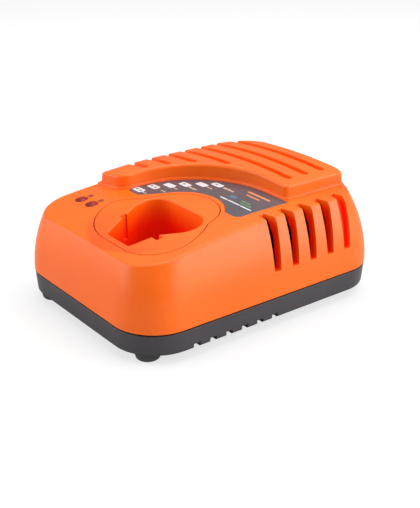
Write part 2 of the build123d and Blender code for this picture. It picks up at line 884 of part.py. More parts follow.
# ---------------------------------------------------------------- base tray
with BuildPart() as base_tray:
    top_width = case_width - 2 * tray_step
    top_length = case_length - 2 * tray_step
    with BuildSketch(Plane.XY.offset(foot_height)):
        RectangleRounded(tray_bottom_width, tray_bottom_length, tray_bottom_corner)
    with BuildSketch(Plane.XY.offset(tray_top)):
        RectangleRounded(top_width, top_length, corner_radius - tray_step)
    loft(ruled=True)
    fillet(base_tray.edges().group_by(Axis.Z)[0], tray_edge_radius)
    with BuildSketch(Plane.XY.offset(floor_top)):
        RectangleRounded(top_width - 2 * wall, top_length - 2 * wall, corner_radius - tray_step - wall)
    extrude(amount=tray_top - floor_top, mode=Mode.SUBTRACT)
    # tongue that locates the cover
    rim = 2 * (wall + tongue_gap)
    rim_corner = corner_radius - wall - tongue_gap
    with BuildSketch(Plane.XY.offset(tray_top - tongue_root)):
        RectangleRounded(case_width - rim, case_length - rim, rim_corner)
        RectangleRounded(
            case_width - rim - 2 * tongue_thickness,
            case_length - rim - 2 * tongue_thickness,
            rim_corner - tongue_thickness,
            mode=Mode.SUBTRACT,
        )
    extrude(amount=tongue_root + tongue_height)
    with BuildSketch(Plane.XY.offset(tray_top)):
        with Locations((inlet_x, inlet_back_y)):
            Rectangle(2 * (nose_half_width + nose_gap), 2 * (half_length - inlet_back_y))
    extrude(amount=tongue_height, mode=Mode.SUBTRACT)
    # screw towers, board standoffs and foot pads
    with BuildSketch(Plane.XY.offset(foot_height + wall / 2)):
        with Locations(*case_screw_places()):
            Circle(tower_radius)
    extrude(amount=tower_top - foot_height - wall / 2)
    with BuildSketch(Plane.XY.offset(foot_height + wall / 2)):
        with Locations(*board_screw_places()):
            Circle(standoff_radius)
    extrude(amount=board_bottom - foot_height - wall / 2)
    with BuildSketch(Plane.XY.offset(foot_height)):
        with Locations(*foot_places()):
            Circle(foot_top_radius + foot_spigot_gap)
    extrude(amount=foot_pad_height)
    # holes and pockets
    with BuildSketch(Plane.XY.offset(foot_height)):
        with Locations(*case_screw_places()):
            Circle(screw_radius + screw_clearance)
    extrude(amount=tower_top, mode=Mode.SUBTRACT)
    with BuildSketch(Plane.XY.offset(foot_height)):
        with Locations(*case_screw_places()):
            Circle(screw_head_radius + head_pocket_gap)
    extrude(amount=head_pocket_top - foot_height, mode=Mode.SUBTRACT)
    with BuildSketch(Plane.XY.offset(board_bottom)):
        with Locations(*board_screw_places()):
            Circle(pilot_radius)
    extrude(amount=-standoff_pilot_depth, mode=Mode.SUBTRACT)
    with BuildSketch(Plane.XY.offset(foot_height)):
        with Locations(*foot_places()):
            Circle(foot_spigot_radius + foot_spigot_gap)
    extrude(amount=foot_spigot_height + foot_spigot_gap, mode=Mode.SUBTRACT)
    with BuildSketch(Plane.XY.offset(foot_height)):
        with Locations((0, plate_y)):
            RectangleRounded(
                plate_width + 2 * plate_edge_gap,
                plate_length + 2 * plate_edge_gap,
                plate_corner + plate_edge_gap,
            )
    extrude(amount=plate_recess, mode=Mode.SUBTRACT)
    # air slots along both long sides
    slot_middle_y = tray_vent_first_y + (tray_vent_count - 1) * tray_vent_pitch / 2 + tray_vent_width / 2
    with BuildSketch(Plane.XY.offset(foot_height)):
        with Locations((0, slot_middle_y)):
            with GridLocations(tray_vent_inner_x + span, tray_vent_pitch, 2, tray_vent_count):
                Rectangle(span - tray_vent_inner_x, tray_vent_width)
    extrude(amount=tray_vent_top - foot_height, mode=Mode.SUBTRACT)
    with BuildSketch(Plane.XY.offset(foot_height)):
        with Locations((0, slot_middle_y)):
            with GridLocations(tray_vent_inner_x + half_width - wall, tray_vent_pitch, 2, tray_vent_count):
                Rectangle(half_width - wall - tray_vent_inner_x, tray_vent_width)
    extrude(amount=tongue_height, mode=Mode.SUBTRACT)
base_tray.part.label = "base_tray"
export_step(base_tray.part, "parts/base_tray.step")

with BuildPart() as rating_plate:
    with BuildSketch(Plane.XY.offset(foot_height + plate_recess - seat_gap)):
        with Locations((0, plate_y)):
            RectangleRounded(plate_width, plate_length, plate_corner)
    extrude(amount=-plate_thickness)
rating_plate.part.label = "rating_plate"
export_step(rating_plate.part, "parts/rating_plate.step")


def foot(x, y):
    """Round rubber foot with a spigot for the tray."""
    with BuildPart() as pad:
        with BuildSketch():
            with Locations((x, y)):
                Circle(foot_base_radius)
        with BuildSketch(Plane.XY.offset(foot_height - seat_gap)):
            with Locations((x, y)):
                Circle(foot_top_radius)
        loft(ruled=True)
        fillet(pad.edges().group_by(Axis.Z)[0], foot_round)
        with BuildSketch(Plane.XY.offset(foot_height - seat_gap)):
            with Locations((x, y)):
                Circle(foot_spigot_radius)
        extrude(amount=foot_spigot_height)
    return pad.part


with BuildPart() as foot_front_left:
    add(foot(*foot_places()[0]))
foot_front_left.part.label = "foot_front_left"
export_step(foot_front_left.part, "parts/foot_front_left.step")

with BuildPart() as foot_front_right:
    add(foot(*foot_places()[1]))
foot_front_right.part.label = "foot_front_right"
export_step(foot_front_right.part, "parts/foot_front_right.step")

with BuildPart() as foot_rear_left:
    add(foot(*foot_places()[2]))
foot_rear_left.part.label = "foot_rear_left"
export_step(foot_rear_left.part, "parts/foot_rear_left.step")

with BuildPart() as foot_rear_right:
    add(foot(*foot_places()[3]))
foot_rear_right.part.label = "foot_rear_right"
export_step(foot_rear_right.part, "parts/foot_rear_right.step")


# ---------------------------------------------------------------- battery well
with BuildPart() as well_flange:
    with BuildSketch(Plane.XY.offset(frame_top)):
        add(flange_outline(flange_gap))
    extrude(amount=form_top - frame_top, dir=(0, 0, 1))
    add(under_shelf(0), mode=Mode.INTERSECT)
    add(under_shelf(wall), mode=Mode.SUBTRACT)

with BuildPart() as battery_well:
    with BuildSketch(Plane.XY.offset(well_bottom)):
        add(well_outline(well_wall))
        with Locations((well_x + well_notch_right / 2, well_notch_right_y)):
            Rectangle(well_notch_right + 2 * well_wall, well_notch_width + 2 * well_wall)
    extrude(amount=form_top - well_bottom, dir=(0, 0, 1))
    with BuildSketch(Plane.XY.offset(frame_top - frame_thickness)):
        with Locations((well_x - well_notch_left / 2, well_notch_left_y)):
            Rectangle(well_notch_left + 2 * well_wall, well_notch_width + 2 * well_wall)
    extrude(amount=form_top - frame_top + frame_thickness, dir=(0, 0, 1))
    add(under_shelf(well_wall), mode=Mode.INTERSECT)
    with BuildSketch(Plane.XY.offset(brim_height)):
        Rectangle(2 * span, 2 * reach)
        add(flange_outline(flange_gap), mode=Mode.SUBTRACT)
    extrude(amount=form_top - brim_height, mode=Mode.SUBTRACT)
    add(well_flange.part)
    with BuildSketch(Plane.XY.offset(frame_top)):
        with Locations(((frame_left_x + frame_right_x) / 2, (frame_back_y + frame_front_y) / 2)):
            RectangleRounded(
                frame_right_x - frame_left_x + 2 * frame_margin,
                frame_back_y - frame_front_y + 2 * frame_margin,
                frame_margin,
            )
        with Locations(*frame_screw_places()):
            Circle(frame_lug_radius)
    extrude(amount=-frame_thickness)
    with BuildSketch(Plane.XY.offset(well_floor)):
        add(well_outline(0))
    extrude(amount=form_top - well_floor, dir=(0, 0, 1), mode=Mode.SUBTRACT)
    # round the edge of the opening, which lies within the flange
    within = flange_outline(2 * flange_gap).face()
    brim = battery_well.edges().filter_by(
        lambda e: abs((e @ 0.5).Z - shelf_z((e @ 0.5).X, (e @ 0.5).Y)) < 2 * surface_tolerance
        and within.is_inside(Vector((e @ 0.5).X, (e @ 0.5).Y, 0))
    )
    fillet(brim, well_rim_radius)
    with BuildSketch(Plane.XY.offset(well_floor)):
        with Locations((well_x + well_notch_right / 2, well_notch_right_y)):
            Rectangle(well_notch_right, well_notch_width)
    extrude(amount=form_top - well_floor, mode=Mode.SUBTRACT)
    with BuildSketch(Plane.XY.offset(frame_top)):
        with Locations((well_x - well_notch_left / 2, well_notch_left_y)):
            Rectangle(well_notch_left, well_notch_width)
    extrude(amount=form_top - frame_top, mode=Mode.SUBTRACT)
    with BuildSketch(Plane.XY.offset(frame_top)):
        with Locations(*frame_screw_places()):
            Circle(screw_radius + screw_clearance)
    extrude(amount=-frame_thickness, mode=Mode.SUBTRACT)
    with BuildSketch(Plane.XZ.offset(-well_back_y)):
        with Locations(*[(x, tag_height) for x in contact_places()]):
            Rectangle(tag_width + 2 * tag_gap, tag_thickness + 2 * tag_gap)
    extrude(amount=-well_wall, mode=Mode.SUBTRACT)
    with BuildSketch(Plane.XY.offset(well_floor)):
        with Locations(*terminal_screw_places()):
            Circle(screw_radius + screw_clearance)
    extrude(amount=-well_wall, mode=Mode.SUBTRACT)
battery_well.part.label = "battery_well"
export_step(battery_well.part, "parts/battery_well.step")

with BuildPart() as well_screws:
    add(screws(frame_screw_places(), frame_top - frame_thickness, frame_screw_length, False))
well_screws.part.label = "well_screws"
export_step(well_screws.part, "parts/well_screws.step")

with BuildPart() as case_screws:
    add(screws(case_screw_places(), head_pocket_top, case_screw_length, False))
case_screws.part.label = "case_screws"
export_step(case_screws.part, "parts/case_screws.step")

with BuildPart() as board_screws:
    add(screws(board_screw_places(), board_top, board_screw_length, True))
board_screws.part.label = "board_screws"
export_step(board_screws.part, "parts/board_screws.step")

with BuildPart() as terminal_screws:
    add(screws(terminal_screw_places(), well_bottom, terminal_screw_length, False))
terminal_screws.part.label = "terminal_screws"
export_step(terminal_screws.part, "parts/terminal_screws.step")

# ---------------------------------------------------------------- label
with BuildPart() as label_plate:
    with BuildSketch(Plane.XY.offset(deck_root)):
        add(label_outline(0))
    extrude(amount=form_top - deck_root, dir=(0, 0, 1))
    add(under_shelf(label_recess - seat_gap - label_thickness), mode=Mode.INTERSECT)
    add(under_shelf(label_recess - seat_gap), mode=Mode.SUBTRACT)
label_plate.part.label = "label_plate"
export_step(label_plate.part, "parts/label_plate.step")


# ---------------------------------------------------------------- indicators
def light_pipe(x, y):
    """Clear rod from the status light to a domed end in the shelf."""
    crown = shelf_z(x, y) - pipe_recess_depth
    foot_z = board_top + light_height + light_gap
    with BuildPart() as rod:
        with BuildSketch(Plane.XZ.offset(-y)):
            with BuildLine():
                side = x + pipe_radius
                Polyline((x, crown + pipe_dome), (x, foot_z), (side, foot_z), (side, crown))
                RadiusArc((side, crown), (x, crown + pipe_dome), -dome_radius)
            make_face()
        revolve(axis=Axis((x, y, 0), (0, 0, 1)))
        with BuildSketch(Plane.XY.offset(pipe_boss_foot - seat_gap)):
            with Locations((x, y)):
                Circle(pipe_collar_radius)
        extrude(amount=-pipe_collar_thickness)
    return rod.part


with BuildPart() as light_pipe_left:
    add(light_pipe(*pipe_places()[0]))
light_pipe_left.part.label = "light_pipe_left"
export_step(light_pipe_left.part, "parts/light_pipe_left.step")

with BuildPart() as light_pipe_right:
    add(light_pipe(*pipe_places()[1]))
light_pipe_right.part.label = "light_pipe_right"
export_step(light_pipe_right.part, "parts/light_pipe_right.step")

with BuildPart() as status_lights:
    with BuildSketch(Plane.XY.offset(board_top + seat_gap)):
        with Locations(*pipe_places()):
            Rectangle(light_length, light_width)
    extrude(amount=light_height - seat_gap)
status_lights.part.label = "status_lights"
export_step(status_lights.part, "parts/status_lights.step")


# ---------------------------------------------------------------- main board
def board_box(x, y, length, depth, height, lift=seat_gap):
    """Block standing on the board, its middle at (x, y)."""
    with BuildPart() as block:
        with BuildSketch(Plane.XY.offset(board_top + lift)):
            with Locations((x, y)):
                Rectangle(length, depth)
        extrude(amount=height)
    return block.part


def can_capacitor(x, y, radius, height):
    """Can with a rolled groove near its foot and a rounded top."""
    foot_z = board_top + seat_gap
    groove_z = foot_z + 3 * can_edge
    with BuildPart() as can:
        with BuildSketch(Plane.XY.offset(foot_z)):
            with Locations((x, y)):
                Circle(radius)
        extrude(amount=height)
        fillet(can.edges().group_by(Axis.Z)[-1], can_edge)
        with BuildSketch(Plane.XY.offset(groove_z)):
            with Locations((x, y)):
                Circle(radius)
                Circle(radius - can_groove, mode=Mode.SUBTRACT)
        extrude(amount=can_groove, mode=Mode.SUBTRACT)
    return can.part


def heat_sink(x, y, length, side):
    """Finned upright sink, its fins towards side (-1 left, 1 right)."""
    pitch = (length - sink_fin_width) / (sink_fin_count - 1)
    with BuildPart() as sink:
        with BuildSketch(Plane.XY.offset(board_top + seat_gap)):
            with Locations((x, y)):
                Rectangle(sink_thickness, length)
            with Locations((x + side * (sink_thickness + sink_fin) / 2, y)):
                with GridLocations(pitch, pitch, 1, sink_fin_count):
                    Rectangle(sink_fin, sink_fin_width)
        extrude(amount=sink_height)
    return sink.part


def power_device(x, y, side):
    """Three-legged device with a tab, its back on the face at x, its body towards side."""
    foot_z = board_top + seat_gap
    with BuildPart() as device:
        with BuildSketch(Plane.YZ.offset(x)):
            with Locations((y, foot_z + device_lift + device_body / 2)):
                Rectangle(device_width, device_body)
        extrude(amount=side * device_depth)
        with BuildSketch(Plane.YZ.offset(x)):
            with Locations((y, foot_z + device_lift + device_body + device_tab / 2)):
                Rectangle(device_width, device_tab)
                Circle(screw_radius, mode=Mode.SUBTRACT)
        extrude(amount=side * device_tab_thickness)
        with BuildSketch(Plane.XY.offset(foot_z)):
            with Locations((x + side * device_depth / 2, y)):
                with GridLocations(chip_leg_pitch, chip_leg_pitch, 1, 3):
                    Rectangle(device_leg, device_leg)
        extrude(amount=device_lift)
    return device.part


with BuildPart() as main_board:
    with BuildSketch(Plane.XY.offset(board_bottom)):
        with Locations((0, (board_back_y + board_front_y) / 2)):
            Rectangle(2 * board_half_width, board_back_y - board_front_y)
        with Locations(((wing_right_x - board_half_width) / 2, (board_front_y + wing_front_y) / 2)):
            Rectangle(wing_right_x + board_half_width, board_front_y - wing_front_y)
        fillet(vertices(), board_thickness)
        with Locations(*board_screw_places()):
            Circle(screw_radius + screw_clearance, mode=Mode.SUBTRACT)
        with Locations((inlet_x, pin_leg_y)):
            with GridLocations(pin_pitch, pin_pitch, 2, 1):
                Circle(pin_leg_radius + pin_leg_gap, mode=Mode.SUBTRACT)
    extrude(amount=board_thickness)
main_board.part.label = "main_board"
export_step(main_board.part, "parts/main_board.step")

# ---------------------------------------------------------------- mains inlet
with BuildPart() as mains_inlet:
    body_bottom = board_top + seat_gap
    with BuildSketch(Plane.XY.offset(body_bottom)):
        with Locations((inlet_x, (inlet_front_y + inlet_back_y) / 2)):
            Rectangle(inlet_body_width, inlet_back_y - inlet_front_y)
    extrude(amount=inlet_body_top - body_bottom)
    with BuildSketch(Plane.XZ.offset(-inlet_back_y)):
        with Locations((inlet_x, inlet_z)):
            RectangleRounded(2 * nose_half_width, 2 * nose_half_height, nose_corner)
    extrude(amount=inlet_back_y - nose_back_y)
    with BuildSketch(Plane.XZ.offset(-nose_back_y)):
        with Locations((inlet_x, inlet_z)):
            with GridLocations(pin_pitch, pin_pitch, 2, 1):
                Circle(socket_radius)
            Rectangle(pin_pitch, socket_waist)
    extrude(amount=socket_depth, mode=Mode.SUBTRACT)
    with BuildSketch(Plane.XZ.offset(-inlet_back_y)):
        with Locations((inlet_x, inlet_z)):
            with GridLocations(pin_pitch, pin_pitch, 2, 1):
                Circle(pin_radius + pin_fit)
    extrude(amount=inlet_back_y - pin_leg_y + pin_radius, mode=Mode.SUBTRACT)
    with BuildSketch(Plane.XY.offset(body_bottom)):
        with Locations((inlet_x, pin_leg_y)):
            with GridLocations(pin_pitch, pin_pitch, 2, 1):
                Circle(pin_leg_radius + pin_leg_gap)
    extrude(amount=inlet_z - body_bottom, mode=Mode.SUBTRACT)
mains_inlet.part.label = "mains_inlet"
export_step(mains_inlet.part, "parts/mains_inlet.step")

with BuildPart() as inlet_pins:
    with BuildSketch(Plane.XZ.offset(-(nose_back_y - pin_recess))):
        with Locations((inlet_x, inlet_z)):
            with GridLocations(pin_pitch, pin_pitch, 2, 1):
                Circle(pin_radius)
    extrude(amount=nose_back_y - pin_recess - pin_leg_y + pin_leg_radius)
    fillet(inlet_pins.edges().group_by(Axis.Y)[-1], pin_radius / 2)
    with BuildSketch(Plane.XY.offset(board_bottom - pin_leg_tail)):
        with Locations((inlet_x, pin_leg_y)):
            with GridLocations(pin_pitch, pin_pitch, 2, 1):
                Circle(pin_leg_radius)
    extrude(amount=inlet_z - board_bottom + pin_leg_tail)
inlet_pins.part.label = "inlet_pins"
export_step(inlet_pins.part, "parts/inlet_pins.step")

# ---------------------------------------------------------------- fuse
fuse_z = board_top + fuse_lift
fuse_cap_x = (fuse_length - fuse_cap_length) / 2

with BuildPart() as fuse_tube:
    with BuildSketch(Plane.YZ.offset(fuse_x - fuse_length / 2)):
        with Locations((fuse_y, fuse_z)):
            Circle(fuse_radius)
    extrude(amount=fuse_length)
fuse_tube.part.label = "fuse_tube"
export_step(fuse_tube.part, "parts/fuse_tube.step")

with BuildPart() as fuse_caps:
    cap_end = fuse_x - fuse_length / 2 - seat_gap - fuse_cap_wall
    with BuildSketch(Plane.YZ.offset(cap_end)):
        with Locations((fuse_y, fuse_z)):
            Circle(fuse_radius + seat_gap + fuse_cap_wall)
    extrude(amount=fuse_cap_length)
    with BuildSketch(Plane.YZ.offset(cap_end + fuse_cap_wall)):
        with Locations((fuse_y, fuse_z)):
            Circle(fuse_radius + seat_gap)
    extrude(amount=fuse_cap_length, mode=Mode.SUBTRACT)
    mirror(about=Plane.YZ.offset(fuse_x))
fuse_caps.part.label = "fuse_caps"
export_step(fuse_caps.part, "parts/fuse_caps.step")

with BuildPart() as fuse_clips:
    clip_inner = fuse_radius + fuse_cap_wall + 2 * seat_gap
    clip_x = fuse_x - fuse_cap_x - clip_width / 2
    clip_foot = board_top + seat_gap
    with BuildSketch(Plane.YZ.offset(clip_x)):
        with Locations((fuse_y, (clip_foot + fuse_z) / 2)):
            Rectangle(2 * (clip_inner + clip_wall), fuse_z - clip_foot)
        with Locations((fuse_y, (clip_foot + clip_wall + fuse_z) / 2)):
            Rectangle(2 * clip_inner, fuse_z - clip_foot - clip_wall, mode=Mode.SUBTRACT)
    extrude(amount=clip_width)
    mirror(about=Plane.YZ.offset(fuse_x))
fuse_clips.part.label = "fuse_clips"
export_step(fuse_clips.part, "parts/fuse_clips.step")

# ---------------------------------------------------------------- line filter and rectifier
with BuildPart() as interference_capacitor:
    add(board_box(line_can_x, line_can_y, line_can_length, line_can_depth, line_can_height))
    fillet(interference_capacitor.edges().group_by(Axis.Z)[-1], can_edge)
interference_capacitor.part.label = "interference_capacitor"
export_step(interference_capacitor.part, "parts/interference_capacitor.step")

choke_bottom = board_top + seat_gap + choke_wire + choke_gap

with BuildPart() as choke_core:
    with BuildSketch(Plane.XY.offset(choke_bottom)):
        with Locations((choke_x, choke_y)):
            Circle(choke_outer)
            Circle(choke_inner, mode=Mode.SUBTRACT)
    extrude(amount=choke_height)
choke_core.part.label = "choke_core"
export_step(choke_core.part, "parts/choke_core.step")

with BuildPart() as choke_winding:
    sleeve = choke_wire + choke_gap
    ring_width = choke_outer - choke_inner
    upright = Plane(origin=(choke_x, choke_y, 0), x_dir=(1, 0, 0), z_dir=(0, -1, 0))
    with BuildSketch(upright.rotated((0, 0, -choke_arc / 2))):
        with Locations(((choke_inner + choke_outer) / 2, choke_bottom + choke_height / 2)):
            RectangleRounded(ring_width + 2 * sleeve, choke_height + 2 * sleeve, choke_wire)
            Rectangle(ring_width + 2 * choke_gap, choke_height + 2 * choke_gap, mode=Mode.SUBTRACT)
    revolve(axis=Axis((choke_x, choke_y, 0), (0, 0, 1)), revolution_arc=choke_arc)
    mirror(about=Plane.YZ.offset(choke_x))
choke_winding.part.label = "choke_winding"
export_step(choke_winding.part, "parts/choke_winding.step")

with BuildPart() as bridge_rectifier:
    add(board_box(bridge_x, bridge_y, bridge_length, bridge_depth, bridge_height, device_leg))
    with BuildSketch(Plane.XY.offset(board_top + seat_gap)):
        with Locations((bridge_x, bridge_y)):
            with GridLocations(bridge_length / 4, bridge_length / 4, 4, 1):
                Rectangle(device_leg, device_leg)
    extrude(amount=device_leg)
bridge_rectifier.part.label = "bridge_rectifier"
export_step(bridge_rectifier.part, "parts/bridge_rectifier.step")

with BuildPart() as bulk_capacitor:
    add(can_capacitor(bulk_can_x, bulk_can_y, bulk_can_radius, bulk_can_height))
bulk_capacitor.part.label = "bulk_capacitor"
export_step(bulk_capacitor.part, "parts/bulk_capacitor.step")

# ---------------------------------------------------------------- transformer
core_bottom = board_top + core_lift
window_width = (core_width - core_middle) / 2 - core_leg
window_height = core_height - 2 * core_yoke
bobbin_x = core_middle / 2 + bobbin_gap + bobbin_wall
bobbin_y = core_thickness / 2 + bobbin_gap + bobbin_wall
flange_x = core_middle / 2 + window_width - bobbin_gap

with BuildPart() as transformer_core:
    with BuildSketch(Plane.XZ.offset(-(transformer_y - core_thickness / 2))):
        with Locations((transformer_x, core_bottom + core_height / 2)):
            Rectangle(core_width, core_height)
            with GridLocations(core_middle + window_width, core_height, 2, 1):
                Rectangle(window_width, window_height, mode=Mode.SUBTRACT)
    extrude(amount=-core_thickness)
transformer_core.part.label = "transformer_core"
export_step(transformer_core.part, "parts/transformer_core.step")

with BuildPart() as transformer_bobbin:
    bobbin_bottom = core_bottom + core_yoke + bobbin_gap
    bobbin_height = window_height - 2 * bobbin_gap
    with BuildSketch(Plane.XY.offset(bobbin_bottom)):
        with Locations((transformer_x, transformer_y)):
            Rectangle(2 * bobbin_x, 2 * bobbin_y)
    extrude(amount=bobbin_height)
    for flange_z in (bobbin_bottom, bobbin_bottom + bobbin_height - bobbin_wall):
        with BuildSketch(Plane.XY.offset(flange_z)):
            with Locations((transformer_x, transformer_y)):
                RectangleRounded(2 * flange_x, 2 * bobbin_reach, bobbin_wall)
        extrude(amount=bobbin_wall)
    foot_depth = bobbin_reach - core_thickness / 2 - bobbin_gap
    with BuildSketch(Plane.XY.offset(board_top + seat_gap)):
        with Locations((transformer_x, transformer_y)):
            with GridLocations(core_width, 2 * bobbin_reach - foot_depth, 1, 2):
                Rectangle(2 * flange_x, foot_depth)
    extrude(amount=bobbin_bottom - board_top - seat_gap)
    with BuildSketch(Plane.XY.offset(bobbin_bottom)):
        with Locations((transformer_x, transformer_y)):
            Rectangle(core_middle + 2 * bobbin_gap, core_thickness + 2 * bobbin_gap)
    extrude(amount=bobbin_height, mode=Mode.SUBTRACT)
transformer_bobbin.part.label = "transformer_bobbin"
export_step(transformer_bobbin.part, "parts/transformer_bobbin.step")

with BuildPart() as transformer_winding:
    winding_z = bobbin_bottom + bobbin_wall + seat_gap
    winding_height = bobbin_height - 2 * (bobbin_wall + seat_gap)
    with BuildSketch(Plane.XY.offset(winding_z)):
        with Locations((transformer_x, transformer_y)):
            RectangleRounded(
                2 * (flange_x - winding_margin), 2 * (bobbin_reach - winding_margin), 2 * winding_margin
            )
            Rectangle(2 * (bobbin_x + seat_gap), 2 * (bobbin_y + seat_gap), mode=Mode.SUBTRACT)
    extrude(amount=winding_height)
transformer_winding.part.label = "transformer_winding"
export_step(transformer_winding.part, "parts/transformer_winding.step")

# ---------------------------------------------------------------- switching and output stage
with BuildPart() as primary_heat_sink:
    add(heat_sink(primary_sink_x, primary_sink_y, primary_sink_length, -1))
primary_heat_sink.part.label = "primary_heat_sink"
export_step(primary_heat_sink.part, "parts/primary_heat_sink.step")

with BuildPart() as switching_transistor:
    add(power_device(primary_sink_x + sink_thickness / 2 + seat_gap, primary_sink_y, 1))
switching_transistor.part.label = "switching_transistor"
export_step(switching_transistor.part, "parts/switching_transistor.step")

with BuildPart() as output_heat_sink:
    add(heat_sink(output_sink_x, output_sink_y, output_sink_length, 1))
output_heat_sink.part.label = "output_heat_sink"
export_step(output_heat_sink.part, "parts/output_heat_sink.step")

with BuildPart() as output_rectifier:
    add(power_device(output_sink_x - sink_thickness / 2 - seat_gap, output_device_y, -1))
output_rectifier.part.label = "output_rectifier"
export_step(output_rectifier.part, "parts/output_rectifier.step")

with BuildPart() as output_capacitors:
    for can_x in (output_can_x, output_can_x + output_can_pitch):
        add(can_capacitor(can_x, output_can_y, output_can_radius, output_can_height))
output_capacitors.part.label = "output_capacitors"
export_step(output_capacitors.part, "parts/output_capacitors.step")

with BuildPart() as control_chip:
    add(board_box(chip_x, chip_y, chip_width, chip_length, chip_height, chip_lift))
control_chip.part.label = "control_chip"
export_step(control_chip.part, "parts/control_chip.step")

with BuildPart() as opto_coupler:
    add(board_box(coupler_x, coupler_y, chip_width, coupler_length, chip_height, chip_lift))
opto_coupler.part.label = "opto_coupler"
export_step(opto_coupler.part, "parts/opto_coupler.step")

with BuildPart() as chip_legs:
    leg_spread = chip_width + 2 * seat_gap + chip_leg_reach
    with BuildSketch(Plane.XY.offset(board_top + seat_gap)):
        with Locations((chip_x, chip_y)):
            with GridLocations(leg_spread, chip_leg_pitch, 2, chip_leg_count):
                Rectangle(chip_leg_reach, chip_leg_width)
        with Locations((coupler_x, coupler_y)):
            with GridLocations(leg_spread, chip_leg_pitch, 2, 2):
                Rectangle(chip_leg_reach, chip_leg_width)
    extrude(amount=chip_leg_top)
chip_legs.part.label = "chip_legs"
export_step(chip_legs.part, "parts/chip_legs.step")


def resistor(y):
    """Small resistor lying on the board, its wire bent down at both ends."""
    foot_z = board_top + seat_gap
    axis_z = foot_z + resistor_radius
    wire_x = resistor_span / 2 - resistor_wire
    with BuildPart() as body:
        with BuildLine(Plane.XZ.offset(-y)) as path:
            FilletPolyline(
                (resistor_x - wire_x, foot_z),
                (resistor_x - wire_x, axis_z),
                (resistor_x + wire_x, axis_z),
                (resistor_x + wire_x, foot_z),
                radius=resistor_bend,
            )
        with BuildSketch(Plane.XY.offset(foot_z)):
            with Locations((resistor_x - wire_x, y)):
                Circle(resistor_wire)
        sweep(path=path.wires()[0])
        with BuildSketch(Plane.YZ.offset(resistor_x - resistor_length / 2)):
            with Locations((y, axis_z)):
                Circle(resistor_radius)
        extrude(amount=resistor_length)
    return body.part


with BuildPart() as resistors:
    for n in range(resistor_count):
        add(resistor(resistor_y + n * resistor_pitch))
resistors.part.label = "resistors"
export_step(resistors.part, "parts/resistors.step")

# ---------------------------------------------------------------- battery contacts
slot_width = contact_width + 2 * contact_side_gap
slot_floor = tag_height - slot_drop
block_bottom = well_floor + block_lift

with BuildPart() as terminal_block:
    with BuildSketch(Plane.XY.offset(block_bottom)):
        with Locations((well_x, (block_back_y + block_front_y) / 2)):
            Rectangle(block_width, block_depth)
    extrude(amount=block_height)
    front = terminal_block.edges().filter_by(Axis.X).sort_by(lambda e: e.center().Z - e.center().Y)[-1]
    fillet(front, block_round)
    with BuildSketch(Plane.XY.offset(slot_floor)):
        for x in contact_places():
            with Locations((x, (slot_back_y + block_front_y) / 2)):
                Rectangle(slot_width, slot_back_y - block_front_y)
    extrude(amount=block_height, mode=Mode.SUBTRACT)
    with BuildSketch(Plane.XZ.offset(-slot_back_y)):
        with Locations(*[(x, tag_height) for x in contact_places()]):
            Rectangle(tag_width + 2 * tag_gap, tag_thickness + 2 * tag_gap)
    extrude(amount=-block_back, mode=Mode.SUBTRACT)
    with BuildSketch(Plane.XY.offset(block_bottom)):
        with Locations(*terminal_screw_places()):
            Circle(pilot_radius)
    extrude(amount=terminal_pilot_depth, mode=Mode.SUBTRACT)
terminal_block.part.label = "terminal_block"
export_step(terminal_block.part, "parts/terminal_block.step")

with BuildPart() as contact_tags:
    with BuildSketch(Plane.XZ.offset(-tag_front_y)):
        with Locations(*[(x, tag_height) for x in contact_places()]):
            Rectangle(tag_width, tag_thickness)
    extrude(amount=-(tag_back_y - tag_front_y))
contact_tags.part.label = "contact_tags"
export_step(contact_tags.part, "parts/contact_tags.step")


def contact(x):
    """Bent spring strip: up and forward to its crest, then back to its tip."""
    root = (contact_root_y, tag_height)
    crest = (block_front_y - contact_proud, tag_height + contact_crest_rise)
    tip = (crest[0] + contact_tip_return, tag_height + contact_tip_rise)
    with BuildPart() as strip:
        with BuildSketch(Plane.YZ.offset(x - contact_width / 2)):
            with BuildLine():
                FilletPolyline(root, crest, tip, radius=contact_bend)
            trace(line_width=contact_thickness)
        extrude(amount=contact_width)
    return strip.part


with BuildPart() as contact_positive:
    add(contact(contact_places()[0]))
contact_positive.part.label = "contact_positive"
export_step(contact_positive.part, "parts/contact_positive.step")

with BuildPart() as contact_sensor:
    add(contact(contact_places()[1]))
contact_sensor.part.label = "contact_sensor"
export_step(contact_sensor.part, "parts/contact_sensor.step")

with BuildPart() as contact_negative:
    add(contact(contact_places()[2]))
contact_negative.part.label = "contact_negative"
export_step(contact_negative.part, "parts/contact_negative.step")

with BuildPart() as output_connector:
    connector_length = len(contact_places()) * contact_pitch
    add(board_box(well_x, connector_y, connector_length, connector_depth, connector_height))
    fillet(output_connector.edges().group_by(Axis.Z)[-1], block_round)
output_connector.part.label = "output_connector"
export_step(output_connector.part, "parts/output_connector.step")


def lead(x):
    """Insulated lead from the top of a contact tag over to the connector."""
    start = (tag_back_y - 2 * lead_radius, tag_height + tag_thickness / 2 + lead_gap)
    top = board_top + seat_gap + connector_height
    over = top + lead_rise
    with BuildPart() as wire:
        with BuildLine(Plane.YZ.offset(x)) as path:
            FilletPolyline(
                start,
                (start[0], over),
                (connector_y, over),
                (connector_y, top + lead_gap),
                radius=lead_bend,
            )
        with BuildSketch(Plane.XY.offset(start[1])):
            with Locations((x, start[0])):
                Circle(lead_radius)
        sweep(path=path.wires()[0])
    return wire.part


with BuildPart() as lead_positive:
    add(lead(contact_places()[0]))
lead_positive.part.label = "lead_positive"
export_step(lead_positive.part, "parts/lead_positive.step")

with BuildPart() as lead_sensor:
    add(lead(contact_places()[1]))
lead_sensor.part.label = "lead_sensor"
export_step(lead_sensor.part, "parts/lead_sensor.step")

with BuildPart() as lead_negative:
    add(lead(contact_places()[2]))
lead_negative.part.label = "lead_negative"
export_step(lead_negative.part, "parts/lead_negative.step")
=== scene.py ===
import math

